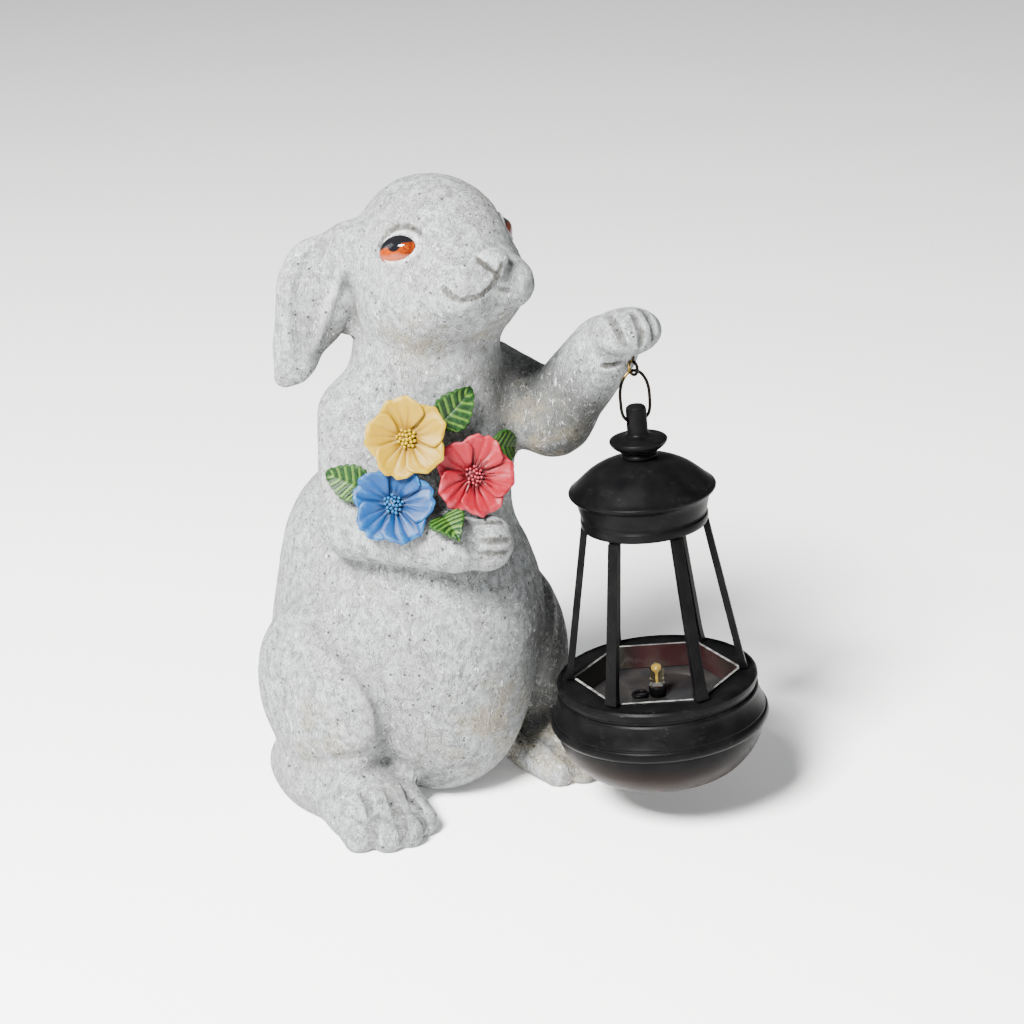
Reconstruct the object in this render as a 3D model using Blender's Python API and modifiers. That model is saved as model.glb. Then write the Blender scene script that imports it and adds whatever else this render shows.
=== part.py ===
"""Solar rabbit garden statue: a cast stone rabbit with a posy on its chest and a hanging lantern.

Metres, +Z up. The statue faces -Y, and its flat underside stands on the ground at z = 0.
The rabbit's pose is given in parts of its own height; walls, bores and fits are real lengths.
"""
import bpy
import bmesh
import numpy as np
from math import atan2, cos, pi, radians, sin
from mathutils import Euler, Matrix, Vector

# Driving dimensions of the cast figure
FIGURE_HEIGHT = 0.2230          # ground to the crown of the head
HEIGHT_PARTS = 223.0            # the pose below counts this many parts in the height
CLAY_VOXEL = 0.0018             # fineness of the clay before it is thinned
FIGURE_TRIANGLES = 4250         # faces left on the figure
FIT_GAP = 0.0003                # clearance between two pieces that touch
SEGMENTS = 26                   # sides of a turned piece
RING_POINTS = 32                # points along the lantern's ring

# Lantern, measured along its own axis from the base's underside
BASE_RADIUS = 0.0380            # over the belt
BASE_HEIGHT = 0.0290            # underside to the joint with the rim
BASE_WALL = 0.0022
BELT_LEVEL = 0.0186             # widest part of the belt
BELT_DEPTH = 0.0052             # height of the belt's bead
BOWL_ROUND = 0.0140             # belt to the edge of the flat underside, across
RIM_RADIUS = 0.0349
RIM_HEIGHT = 0.0046             # rim above the joint
PLUG_DEPTH = 0.0036             # how far the rim's plug reaches into the base
RIM_LAND = 0.0067               # rim left outside a corner of the hexagonal tray opening
FLOOR_THICKNESS = 0.0014
LEDGE_WIDTH = 0.0020            # ledge that carries the tray floor
POST_FOOT_WIDTH = 0.0048
POST_HEAD_WIDTH = 0.0034
POST_DEPTH = 0.0028
POST_FOOT_RADIUS = 0.0300       # axis to the middle of a post's foot
POST_HEAD_RADIUS = 0.0205       # axis to the middle of a post's head
POST_COUNT = 6
CAGE_HEIGHT = 0.0552            # rim's top to the underside of the roof
ROOF_RADIUS = 0.0250            # eave of the dome
SKIRT_RADIUS = 0.0217           # bead at the skirt's foot
SKIRT_HEIGHT = 0.0128
SKIRT_COVE = 0.0040             # eave to the top of the skirt's straight wall
DOME_HEIGHT = 0.0110
ROOF_WALL = 0.0018
SKIRT_WALL = 0.0034
KNOB_RADIUS = 0.0098
KNOB_SEAT_RADIUS = 0.0062
KNOB_RISE = 0.0055              # roof to the middle of the knob's disc
KNOB_UNDERCUT = 0.0040          # disc's middle to its foot
KNOB_CROWN = 0.0020             # disc's middle to the stem's foot
STEM_RADIUS = 0.0036
STEM_HEIGHT = 0.0103            # stem above the knob's disc
WIRE_DIAMETER = 0.0011
WIRE_HOLE = 0.0029              # cross hole through the stem
HOLE_DEPTH = 0.0052             # stem's top to the middle of the cross hole
RING_WIDTH = 0.0114
RING_HEIGHT = 0.0183
EYELET_WIDTH = 0.0056
SHANK_LENGTH = 0.0050           # eyelet shank inside the paw
SHANK_BORE = 0.0018             # hole in the paw for the shank
LED_DIAMETER = 0.0050
LED_HEIGHT = 0.0080
HOLDER_DIAMETER = 0.0062
HOLDER_HEIGHT = 0.0036
GROMMET_DIAMETER = 0.0062
GROMMET_WIRE = 0.0012
LANTERN_LEAN = radians(4.0)     # the base rests against the far foot
LEAN_HEADING = radians(-52.0)   # plan direction that the base swings to, from +X
CAMERA_SIDE = radians(-39.4)    # plan direction that a gap between posts faces, from -Y

# Flowers and leaves
FLOWER_RADIUS = 0.0148
PETALS = 5
PETAL_THICKNESS = 0.0022

PART = FIGURE_HEIGHT / HEIGHT_PARTS


def at(x, y, z):
    """A point of the figure, from parts of its height to metres."""
    return Vector((x, y, z)) * PART


def turn_matrix(degrees):
    """Rotation as a 3x3 array, from angles about X, Y and Z in degrees."""
    return np.array(Euler([radians(angle) for angle in degrees]).to_matrix())


# Clay: the figure is a smooth blend of balls and limbs, then tools press lines into it.
# Every length here is in parts of the figure's height. The near side is -X.

class Ball:
    """An ellipsoid of clay, turned by degrees about X, Y and Z."""

    def __init__(self, centre, radii, turn=(0, 0, 0)):
        self.centre = np.array(centre, float)
        self.radii = np.array(radii, float)
        self.axes = turn_matrix(turn)

    def distance(self, points):
        local = (points - self.centre) @ self.axes
        near = np.linalg.norm(local / self.radii, axis=1)
        slope = np.linalg.norm(local / self.radii ** 2, axis=1)
        return near * (near - 1.0) / np.maximum(slope, 1e-9)

    def close_to(self, points, margin):
        return np.linalg.norm(points - self.centre, axis=1) < self.radii.max() + margin

    def add_to(self, mesh, mirrored, swell):
        flip = Matrix.Scale(-1, 4, (1, 0, 0)) if mirrored else Matrix.Identity(4)
        turn = Matrix(self.axes.tolist()).to_4x4()
        shape = flip @ Matrix.Translation(self.centre) @ turn @ Matrix.Diagonal((*(self.radii + swell), 1))
        made = bmesh.ops.create_uvsphere(mesh, u_segments=32, v_segments=20, radius=1.0, matrix=shape)
        if mirrored:
            faces = {face for vertex in made["verts"] for face in vertex.link_faces}
            bmesh.ops.reverse_faces(mesh, faces=list(faces))


class Limb:
    """A rounded, tapered limb of clay between two points."""

    def __init__(self, start, end, start_radius, end_radius):
        self.start = np.array(start, float)
        self.end = np.array(end, float)
        self.radii = (start_radius, end_radius)

    def distance(self, points):
        along = self.end - self.start
        share = np.clip((points - self.start) @ along / (along @ along), 0.0, 1.0)
        radius = self.radii[0] + share * (self.radii[1] - self.radii[0])
        return np.linalg.norm(points - self.start - share[:, None] * along, axis=1) - radius

    def close_to(self, points, margin):
        middle = (self.start + self.end) / 2
        half = np.linalg.norm(self.end - self.start) / 2
        return np.linalg.norm(points - middle, axis=1) < half + max(self.radii) + margin

    def add_to(self, mesh, mirrored, swell):
        side = -1 if mirrored else 1
        length = np.linalg.norm(self.end - self.start)
        beads = 2 + int(length / (0.4 * min(self.radii)))
        for share in np.linspace(0.0, 1.0, beads):
            centre = self.start + share * (self.end - self.start)
            radius = self.radii[0] + share * (self.radii[1] - self.radii[0]) + swell
            middle = Matrix.Translation((centre[0] * side, centre[1], centre[2]))
            bmesh.ops.create_icosphere(mesh, subdivisions=2, radius=radius, matrix=middle)


SKIN_REACH = 8.0            # how far from the skin a form still counts, in parts


def smooth_min(first, second, reach):
    """Blend two distances into one, rounding the seam over the reach."""
    share = np.clip(0.5 + 0.5 * (second - first) / reach, 0.0, 1.0)
    return second * (1.0 - share) + first * share - reach * share * (1.0 - share)


# Forms that are the same on both sides: (form, blend reach)
PAIRED_FORMS = [
    (Ball((-40, -2, 41), (18, 31, 33), (-14, 0, 4)), 3),            # thigh
    (Ball((-40, -3, 9), (16.5, 31, 15)), 6),                        # foot
    (Ball((-40, -29, 6), (16.5, 19, 11.5)), 4),                     # ball of the foot
    (Ball((-14, -27, 185), (14, 18, 15)), 9),                       # cheek
    (Ball((-8.8, -50.5, 190.5), (9.5, 9, 9)), 3),                   # whisker pad
    (Ball((-33.5, 0.5, 184), (5, 13, 20), (9, 0, 49)), 4),          # ear
    (Ball((-37, 6, 169), (4.6, 8.6, 17), (9, 0, 49)), 4),           # lower half of the ear
    (Limb((-38.5, 8, 164), (-41, 11.5, 153.5), 4.4, 2.8), 5),       # tip of the ear
    (Ball((-24, -9, 200), (8, 10, 9)), 6),                          # root of the ear
]
TOES = [
    # root across, tip across, tip forward
    (-50.5, -53.0, -41.5),
    (-42.5, -45.5, -47.5),
    (-34.5, -38.0, -49.0),
    (-26.5, -30.0, -45.5),
]
for root, tip, forward in TOES:
    PAIRED_FORMS.append((Limb((root, -27, 8), (tip, forward, 4.2), 6.0, 5.8), 2.2))

# Forms that stand on the middle plane or on one side only
SINGLE_FORMS = [
    (Ball((0, 18, 42), (44, 39, 44)), 10),                          # rump
    (Ball((0, 14, 76), (38, 40, 42)), 14),                          # back
    (Ball((0, -10, 62), (42, 41, 54)), 12),                         # belly
    (Ball((0, -14, 30), (30, 31, 32)), 10),                         # foot of the belly
    (Ball((0, -13, 126), (31.5, 29, 44)), 12),                      # chest
    (Ball((0, -16, 166), (24.5, 24, 26)), 12),                      # neck
    (Ball((0, -21, 194.5), (25.5, 30, 28.5)), 8),                   # skull
    (Ball((0, -43, 191.5), (16.5, 15.5, 12.5)), 8),                 # muzzle
    (Ball((0, -43, 182), (9, 9, 7)), 5),                            # chin
    (Ball((0, -55.6, 200.6), (6.0, 4.2, 3.5)), 1.6),                # nose
    (Ball((0, -57.4, 198.0), (2.5, 3.0, 3.3)), 1.2),                # tip of the nose
    (Ball((0, 54, 24), (13, 12, 13)), 4),                           # tail
    (Limb((-25, -9, 142), (-34, -19, 110), 13.5, 12.5), 8),         # near upper arm
    (Limb((-35, -22, 109), (-15, -50, 105), 12.5, 10), 3),          # near forearm
    (Ball((-5, -54.5, 104), (9.5, 8.5, 9.6)), 3),                   # near paw
    (Limb((27, -13, 145), (37, -37, 136), 14, 13.5), 8),            # far upper arm
    (Limb((37, -37, 136), (41, -61, 164), 13.5, 11.5), 5),          # far forearm
    (Ball((41, -72.5, 172.5), (11.5, 12.5, 8.2), (-12, 0, 0)), 4),  # far paw
]


def blend_clay(points):
    """Signed distance to the blended forms, before any line is pressed in."""
    sided = points.copy()
    sided[:, 0] = -np.abs(sided[:, 0])
    distance = SINGLE_FORMS[0][0].distance(points)
    forms = [(form, reach, points) for form, reach in SINGLE_FORMS[1:]]
    forms += [(form, reach, sided) for form, reach in PAIRED_FORMS]
    for form, reach, spots in forms:
        near = form.close_to(spots, reach + SKIN_REACH)
        distance[near] = smooth_min(distance[near], form.distance(spots[near]), reach)
    return distance


def settle(points, distance, rounds=8, probe=0.05, longest_step=2.0):
    """Draw points onto a skin by repeated steps along its slope."""
    for _ in range(rounds):
        here, slope = slope_of(points, distance, probe)
        steepness = np.maximum((slope ** 2).sum(axis=1), 0.2)
        step = np.clip(here / steepness, -longest_step, longest_step)
        points = points - step[:, None] * slope
    return points


def slope_of(points, distance, probe=0.05):
    here = distance(points)
    rises = [distance(points + probe * axis) - here for axis in np.eye(3)]
    return here, np.stack(rises, axis=1) / probe


def rounded_path(corners, steps=4):
    """A smooth path through the corners."""
    knots = np.array([corners[0], *corners, corners[-1]], float)
    path = []
    for before, start, end, after in zip(knots, knots[1:], knots[2:], knots[3:]):
        for share in np.arange(steps) / steps:
            bend = (2 * before - 5 * start + 4 * end - after) * share ** 2
            bend += (3 * start - before - 3 * end + after) * share ** 3
            path.append(start + ((end - before) * share + bend) / 2)
    return np.array([*path, knots[-1]])


class Line:
    """A round tool drawn along the skin, thinner at both ends. It presses in, or adds a bead."""

    def __init__(self, corners, width, depth, soft=1.0, mirrored=False, bead=False):
        path = settle(rounded_path(corners), blend_clay, 6)
        slope = slope_of(path, blend_clay)[1]
        normal = slope / np.maximum(np.linalg.norm(slope, axis=1), 1e-6)[:, None]
        along = np.linspace(0, pi, len(path))
        self.radii = width * (0.45 + 0.55 * np.sin(along) ** 0.5)
        away = self.radii - depth * np.sin(along) ** 0.5
        self.path = path + normal * (-away if bead else away)[:, None]
        self.middle = self.path.mean(axis=0)
        self.span = np.linalg.norm(self.path - self.middle, axis=1).max() + width
        self.soft, self.mirrored, self.bead = soft, mirrored, bead

    def close_to(self, points, margin):
        return np.linalg.norm(points - self.middle, axis=1) < self.span + margin

    def distance(self, points):
        nearest = np.full(len(points), np.inf)
        for start, end, first, last in zip(self.path, self.path[1:], self.radii, self.radii[1:]):
            along = end - start
            share = np.clip((points - start) @ along / max(along @ along, 1e-9), 0.0, 1.0)
            reach = np.linalg.norm(points - start - share[:, None] * along, axis=1)
            nearest = np.minimum(nearest, reach - first - share * (last - first))
        return nearest


# Lines pressed into the clay: toes, fingers of both paws, and the edge of the thigh
LINES = [
    Line([(-46, -33, 17), (-48, -43, 12.5), (-49.5, -49, 2)], 1.7, 2.0, 1.4, True),
    Line([(-38, -36, 17), (-40, -47, 11.5), (-41.8, -54, 2)], 1.7, 2.2, 1.4, True),
    Line([(-29.5, -36, 16), (-32, -47, 11), (-34, -54, 2)], 1.7, 2.0, 1.4, True),
    Line([(-11, -54, 111.5), (-5, -57, 110.5), (-1, -57, 109.5)], 1.1, 0.8),
    Line([(-12, -59, 108), (-6, -62, 107.2), (0, -62, 106.2)], 1.1, 0.9),
    Line([(-12.5, -61, 104), (-7, -63, 103), (-1, -63, 102)], 1.1, 0.9),
    Line([(34.5, -71, 180), (32.5, -79, 176), (33.5, -82, 169.5)], 1.3, 1.2),
    Line([(40, -76, 181), (37.8, -84, 176), (38.5, -84, 169)], 1.3, 1.2),
    Line([(45.5, -75, 180.5), (43.4, -82, 178), (43, -85, 171)], 1.3, 1.2),
    Line([(-46, -4, 72), (-44.5, -16, 67), (-41, -25, 58), (-37, -30, 47), (-35.5, -29.5, 34),
          (-31, -26, 22)], 2.2, 1.6, 3.5, True),
]


def clay_distance(points):
    """Signed distance to the finished clay, in parts; negative is inside. True near the skin."""
    distance = blend_clay(points)
    sided = points.copy()
    sided[:, 0] = -np.abs(sided[:, 0])
    for line in LINES:
        spots = sided if line.mirrored else points
        near = line.close_to(spots, line.soft)
        tool = line.distance(spots[near])
        if line.bead:
            distance[near] = smooth_min(distance[near], tool, line.soft)
        else:
            distance[near] = -smooth_min(-distance[near], tool, line.soft)
    return distance


def new_object(name, mesh, collection, material=None):
    thing = bpy.data.objects.new(name, mesh)
    collection.objects.link(thing)
    if material:
        thing.data.materials.append(material)
    return thing


def evaluated_mesh(thing):
    """The object's mesh with its modifiers applied."""
    bpy.context.view_layer.update()
    graph = bpy.context.evaluated_depsgraph_get()
    return bpy.data.meshes.new_from_object(thing.evaluated_get(graph))


def clay_figure(collection, cutters, material):
    """Model the cast body: rough clay, settled skin, thinned faces, flat underside."""
    rough = bmesh.new()
    for form, reach in SINGLE_FORMS:
        form.add_to(rough, mirrored=False, swell=reach / 4)
    for form, reach in PAIRED_FORMS:
        form.add_to(rough, mirrored=False, swell=reach / 4)
        form.add_to(rough, mirrored=True, swell=reach / 4)
    mesh = bpy.data.meshes.new("rabbit_clay")
    rough.to_mesh(mesh)
    rough.free()
    clay = new_object("rabbit_clay", mesh, cutters)
    remesh = clay.modifiers.new("Remesh", "REMESH")
    remesh.mode = "VOXEL"
    remesh.voxel_size = CLAY_VOXEL / PART
    skin = evaluated_mesh(clay)
    bpy.data.objects.remove(clay)
    points = np.empty(len(skin.vertices) * 3)
    skin.vertices.foreach_get("co", points)
    points = settle(points.reshape(-1, 3), clay_distance)
    skin.vertices.foreach_set("co", (points * PART).ravel())
    skin.update()
    rabbit = new_object("rabbit", skin, collection, material)
    thin = rabbit.modifiers.new("Decimate", "DECIMATE")
    triangles = sum(len(face.vertices) - 2 for face in skin.polygons)
    thin.ratio = FIGURE_TRIANGLES / triangles
    thin.use_collapse_triangulate = True
    return rabbit


def collection_named(name):
    made = bpy.data.collections.new(name)
    bpy.context.scene.collection.children.link(made)
    return made


def material_named(name, colour, roughness, metallic=0.0):
    made = bpy.data.materials.new(name)
    made.use_nodes = True
    shader = made.node_tree.nodes["Principled BSDF"]
    shader.inputs["Base Color"].default_value = (*colour, 1.0)
    shader.inputs["Roughness"].default_value = roughness
    shader.inputs["Metallic"].default_value = metallic
    return made


def cut(thing, cutter):
    """Boolean difference of a piece by a cutter, which stays as a wire guide."""
    cutter.display_type = "WIRE"
    cutter.hide_render = True
    boolean = thing.modifiers.new("Cut", "BOOLEAN")
    boolean.operation = "DIFFERENCE"
    boolean.solver = "EXACT"
    boolean.object = cutter


def shape_mesh(name, shape):
    """A mesh from a bmesh that the caller has filled."""
    mesh = bpy.data.meshes.new(name)
    shape.to_mesh(mesh)
    shape.free()
    return mesh


def ball_mesh(name, radii, segments, rings):
    shape = bmesh.new()
    size = Matrix.Diagonal((*radii, 1))
    bmesh.ops.create_uvsphere(shape, u_segments=segments, v_segments=rings, radius=1.0, matrix=size)
    return shape_mesh(name, shape)


def drum_mesh(name, radius, low, high, segments):
    """A cylinder along Z between two levels."""
    shape = bmesh.new()
    middle = Matrix.Translation((0, 0, (low + high) / 2))
    bmesh.ops.create_cone(shape, cap_ends=True, segments=segments, radius1=radius, radius2=radius,
                          depth=high - low, matrix=middle)
    return shape_mesh(name, shape)


def turned(name, profile, collection, material, parent, segments=SEGMENTS):
    """A turned piece: an outline of (radius, level) points, listed outside downwards, spun about Z.

    An outline that starts on the axis ends on it; any other closes on itself.
    """
    shape = bmesh.new()
    points = [shape.verts.new((radius, 0.0, level)) for radius, level in profile]
    pairs = list(zip(points, points[1:]))
    if profile[0][0] > 0:
        pairs.append((points[-1], points[0]))
    for first, second in pairs:
        shape.edges.new((first, second))
    piece = new_object(name, shape_mesh(name, shape), collection, material)
    screw = piece.modifiers.new("Screw", "SCREW")
    screw.steps = segments
    screw.render_steps = segments
    screw.use_merge_vertices = True
    screw.merge_threshold = 0.00001
    screw.use_smooth_shade = True
    piece.parent = parent
    return piece


def solid_wire(name, points, diameter, closed, sides, collection, material):
    """A round wire through points, made a mesh with welded ends."""
    curve = bpy.data.curves.new(name, "CURVE")
    curve.dimensions = "3D"
    curve.bevel_depth = diameter / 2
    curve.bevel_resolution = sides
    curve.use_fill_caps = not closed
    spline = curve.splines.new("POLY")
    spline.points.add(len(points) - 1)
    for knot, point in zip(spline.points, points):
        knot.co = (*point, 1.0)
    spline.use_cyclic_u = closed
    guide = new_object(name + "_curve", curve, collection)
    mesh = evaluated_mesh(guide)
    bpy.data.objects.remove(guide)
    shape = bmesh.new()
    shape.from_mesh(mesh)
    bmesh.ops.remove_doubles(shape, verts=shape.verts, dist=0.00001)
    shape.to_mesh(mesh)
    shape.free()
    return new_object(name, mesh, collection, material)


def facing(direction, turn=0.0):
    """Rotation that points local Z along the direction, with local Y as near world up as it can be."""
    out = Vector(direction).normalized()
    side = Vector((0, 0, 1)).cross(out).normalized()
    up = out.cross(side)
    return Matrix((side, up, out)).transposed() @ Matrix.Rotation(turn, 3, "Z")


def set_down(thing, point, rotation):
    thing.location = point
    thing.rotation_euler = rotation.to_euler()
    return thing


# Face: glossy eyes set in almond sockets
EYE_PLACE = (-20.8, -33.2, 204.1)
EYE_FACING = (-0.77, -0.42, 0.48)
EYE_RADII = (8.0, 5.6, 4.2)     # half width, half height, half depth
EYE_INSET = 2.7                 # how deep the eye's middle lies under the clay's skin
EYE_TILT = radians(18.0)


def on_clay(point, out, lift):
    """A place lifted off the clay's skin, from a rough point near it, all in parts."""
    skin = settle(np.array([point], float), clay_distance)[0]
    return at(*skin) + Vector(out).normalized() * lift


def eyes(rabbit, collection, cutters, material):
    for name, side in (("eye_right", 1), ("eye_left", -1)):
        out = (EYE_FACING[0] * side, *EYE_FACING[1:])
        centre = on_clay((EYE_PLACE[0] * side, *EYE_PLACE[1:]), out, -EYE_INSET * PART)
        rotation = facing(out, EYE_TILT * side)
        radii = [radius * PART for radius in EYE_RADII]
        eye = new_object(name, ball_mesh(name, radii, 14, 8), collection, material)
        set_down(eye, centre, rotation)
        socket_radii = [radius + FIT_GAP for radius in radii]
        socket = new_object(name + "_socket", ball_mesh(name, socket_radii, 14, 8), cutters)
        set_down(socket, centre, rotation)
        cut(rabbit, socket)


# Posy: three flowers of five notched petals, and leaves behind them.
# Each lift is how far the middle of the piece stands off the clay.
FLOWERS = [
    # name, place in parts, facing, lift, turn of the petals, colour
    ("flower_yellow", (-20.1, -33.1, 138.6), (-0.60, -0.73, 0.36), 0.0082, radians(32), (0.86, 0.66, 0.06)),
    ("flower_red", (-3.8, -41.8, 124.2), (-0.28, -0.90, 0.32), 0.0086, radians(-4), (0.70, 0.10, 0.14)),
    ("flower_blue", (-29.2, -36.9, 118.2), (-0.57, -0.70, 0.43), 0.0060, radians(9), (0.06, 0.25, 0.55)),
]
LEAVES = [
    # name, root in parts, tip in parts, facing, width
    ("leaf_top", (-13.0, -39.8, 143.5), (-1.0, -42.2, 154.0), (-0.25, -0.95, 0.15), 0.0130),
    ("leaf_left", (-36.8, -32.4, 124.4), (-45.2, -20.8, 129.0), (-0.80, -0.45, 0.40), 0.0120),
    ("leaf_right", (6.0, -43.6, 133.0), (19.5, -38.8, 128.5), (0.25, -0.95, 0.10), 0.0110),
    ("leaf_bottom", (-20.0, -51.0, 116.0), (-22.2, -62.2, 112.8), (-0.40, -0.45, 0.80), 0.0115),
]
LEAF_THICKNESS = 0.0014


def petal_outline(angle):
    """Share of the flower's radius reached at an angle: five round petals with a shallow tip notch."""
    share = (angle * PETALS / (2 * pi)) % 1.0
    lobe = 1.0 - abs(2.0 * share - 1.0) ** 3.0
    notch = 0.06 * max(0.0, 1.0 - abs(share - 0.5) / 0.10)
    return 0.64 + 0.36 * lobe - notch


def flower(name, near, direction, lift, petal_turn, material, collection):
    """A cupped bloom whose calyx reaches back to the clay."""
    calyx = (lift - PETAL_THICKNESS / 2 - FIT_GAP) / FLOWER_RADIUS
    shape = bmesh.new()
    bmesh.ops.create_uvsphere(shape, u_segments=6 * PETALS, v_segments=6, radius=1.0)
    for vertex in shape.verts:
        x, y, side = vertex.co
        reach = min(1.0, (x * x + y * y) ** 0.5)
        angle = atan2(y, x)
        radius = FLOWER_RADIUS * reach * petal_outline(angle)
        cup = 0.30 * reach ** 2 - 0.12 * reach ** 4
        middle = 0.16 * max(0.0, 1.0 - reach / 0.35)
        if side < 0:
            middle = -calyx * max(0.0, 1.0 - reach / 0.45)
        level = FLOWER_RADIUS * (cup + middle) + PETAL_THICKNESS * side / 2
        vertex.co = (radius * cos(angle), radius * sin(angle), level)
    bloom = new_object(name, shape_mesh(name, shape), collection, material)
    return set_down(bloom, on_clay(near, direction, lift), facing(direction, petal_turn))


def leaf(name, root, tip, direction, broad, material, collection):
    """An almond leaf, folded along its rib, from its root to its tip."""
    start, end = at(*root), at(*tip)
    length = (end - start).length
    shape = bmesh.new()
    bmesh.ops.create_uvsphere(shape, u_segments=12, v_segments=6, radius=1.0)
    for vertex in shape.verts:
        x, y, side = vertex.co
        width = broad / 2 * y * (1.0 - 0.35 * x)
        fold = 0.25 * abs(width)
        curl = -0.10 * length * x * x
        vertex.co = (length / 2 * x, width, fold + curl + LEAF_THICKNESS * side / 2)
    blade = new_object(name, shape_mesh(name, shape), collection, material)
    along = (end - start).normalized()
    out = Vector(direction)
    out = (out - out.dot(along) * along).normalized()
    axes = Matrix((along, out.cross(along), out)).transposed()
    return set_down(blade, (start + end) / 2, axes)


# Lantern levels along its axis, from the base's underside
RIM_LOW = BASE_HEIGHT + FIT_GAP
RIM_TOP = RIM_LOW + RIM_HEIGHT
HEX_CORNER = RIM_RADIUS - RIM_LAND      # axis to a corner of the tray opening
SKIRT_LOW = RIM_TOP + CAGE_HEIGHT
EAVE = SKIRT_LOW + SKIRT_HEIGHT
DOME_TOP = EAVE + DOME_HEIGHT
KNOB_LOW = DOME_TOP + FIT_GAP
KNOB_DISC = KNOB_LOW + KNOB_RISE
STEM_TOP = KNOB_DISC + KNOB_CROWN + STEM_HEIGHT
HOLE_LEVEL = STEM_TOP - HOLE_DEPTH
RING_HALF_WIDTH = (RING_WIDTH - WIRE_DIAMETER) / 2
RING_HALF_HEIGHT = (RING_HEIGHT - WIRE_DIAMETER) / 2
RING_SQUARENESS = 3.6                   # power of the ring's flatter lower half


def ring_drop(across):
    """How far the ring's lower half hangs below its middle, at a distance from its axis."""
    share = min(1.0, abs(across) / RING_HALF_WIDTH) ** RING_SQUARENESS
    return RING_HALF_HEIGHT * (1.0 - share) ** (1.0 / RING_SQUARENESS)


# The wire climbs between the middle of the stem and its sides, where it bears on the hole's edge
WIRE_RISE = RING_HALF_HEIGHT - ring_drop(STEM_RADIUS)
RING_LOW = HOLE_LEVEL + (WIRE_HOLE - WIRE_DIAMETER) / 2 - FIT_GAP - WIRE_RISE
RING_TOP = RING_LOW + RING_HEIGHT - WIRE_DIAMETER
EYELET_LOW = RING_TOP - WIRE_DIAMETER - FIT_GAP
EYELET_PLACE = (42.0, -75.0, 158.2)     # middle of the eyelet's lowest wire, in parts
RING_HEADING = CAMERA_SIDE + radians(20)
EYELET_HEADING = CAMERA_SIDE - radians(52)
FLOOR_TOP = BASE_HEIGHT - PLUG_DEPTH - FIT_GAP
LEDGE_LEVEL = FLOOR_TOP - FLOOR_THICKNESS - FIT_GAP
CUP_RADIUS = RIM_RADIUS - BASE_WALL     # bore of the base above its ledge


def heading(angle):
    """Plan direction at an angle from the front (-Y), turning towards +X."""
    return Vector((sin(angle), -cos(angle), 0.0))


def lantern_axis(statue):
    """An empty at the base's underside, leaning so that the ring hangs on the eyelet."""
    axis = Vector((-sin(LANTERN_LEAN) * cos(LEAN_HEADING), -sin(LANTERN_LEAN) * sin(LEAN_HEADING),
                   cos(LANTERN_LEAN)))
    empty = bpy.data.objects.new("lantern_axis", None)
    statue.objects.link(empty)
    empty.location = at(*EYELET_PLACE) - axis * EYELET_LOW
    empty.rotation_euler = Vector((0, 0, 1)).rotation_difference(axis).to_euler()
    return empty


def lantern_base(statue, black, axis):
    lip = CUP_RADIUS - LEDGE_WIDTH
    outer = [
        (RIM_RADIUS, BASE_HEIGHT), (RIM_RADIUS + 0.0003, BELT_LEVEL + 0.0036),
        (BASE_RADIUS - 0.0010, BELT_LEVEL + 0.0022), (BASE_RADIUS, BELT_LEVEL),
        (BASE_RADIUS - 0.0006, BELT_LEVEL - BELT_DEPTH * 0.6),
        (BASE_RADIUS - 0.0022, BELT_LEVEL - BELT_DEPTH),
        (BASE_RADIUS - BOWL_ROUND * 0.28, BELT_LEVEL * 0.40),
        (BASE_RADIUS - BOWL_ROUND * 0.56, BELT_LEVEL * 0.14),
        (BASE_RADIUS - BOWL_ROUND, 0.0),
    ]
    inner = [
        (BASE_RADIUS - BOWL_ROUND - BASE_WALL * 0.5, BASE_WALL), (lip - BASE_WALL, BASE_WALL * 1.7),
        (lip, BELT_LEVEL * 0.57),
        (lip, LEDGE_LEVEL), (CUP_RADIUS, LEDGE_LEVEL), (CUP_RADIUS, BASE_HEIGHT),
    ]
    profile = [(0.0, BASE_WALL)] + inner + outer + [(0.0, 0.0)]
    turned("lantern_base", profile, statue, black, axis)


def lantern_rim(statue, cutters, black, axis):
    plug = CUP_RADIUS - FIT_GAP
    outline = [
        (RIM_RADIUS - 0.0016, RIM_TOP), (RIM_RADIUS - 0.0003, RIM_TOP - 0.0012),
        (RIM_RADIUS, RIM_TOP - 0.0026), (RIM_RADIUS - 0.0008, RIM_LOW),
        (plug, RIM_LOW), (plug, BASE_HEIGHT - PLUG_DEPTH),
        (HEX_CORNER * 0.8, BASE_HEIGHT - PLUG_DEPTH), (HEX_CORNER * 0.8, RIM_TOP),
    ]
    rim = turned("lantern_rim", outline, statue, black, axis)
    shape = bmesh.new()
    bmesh.ops.create_cone(shape, cap_ends=True, segments=POST_COUNT, radius1=HEX_CORNER, radius2=HEX_CORNER,
                          depth=(RIM_HEIGHT + PLUG_DEPTH) * 4, matrix=Matrix.Translation((0, 0, RIM_TOP)))
    tray = new_object("tray_opening", shape_mesh("tray_opening", shape), cutters)
    tray.parent = axis
    first_post = heading(CAMERA_SIDE + pi / POST_COUNT)
    tray.rotation_euler = (0, 0, atan2(first_post.y, first_post.x))
    cut(rim, tray)


def lantern_floor(statue, plate, axis):
    mesh = drum_mesh("lantern_floor", CUP_RADIUS - FIT_GAP, FLOOR_TOP - FLOOR_THICKNESS, FLOOR_TOP, SEGMENTS)
    floor = new_object("lantern_floor", mesh, statue, plate)
    floor.parent = axis


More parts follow.
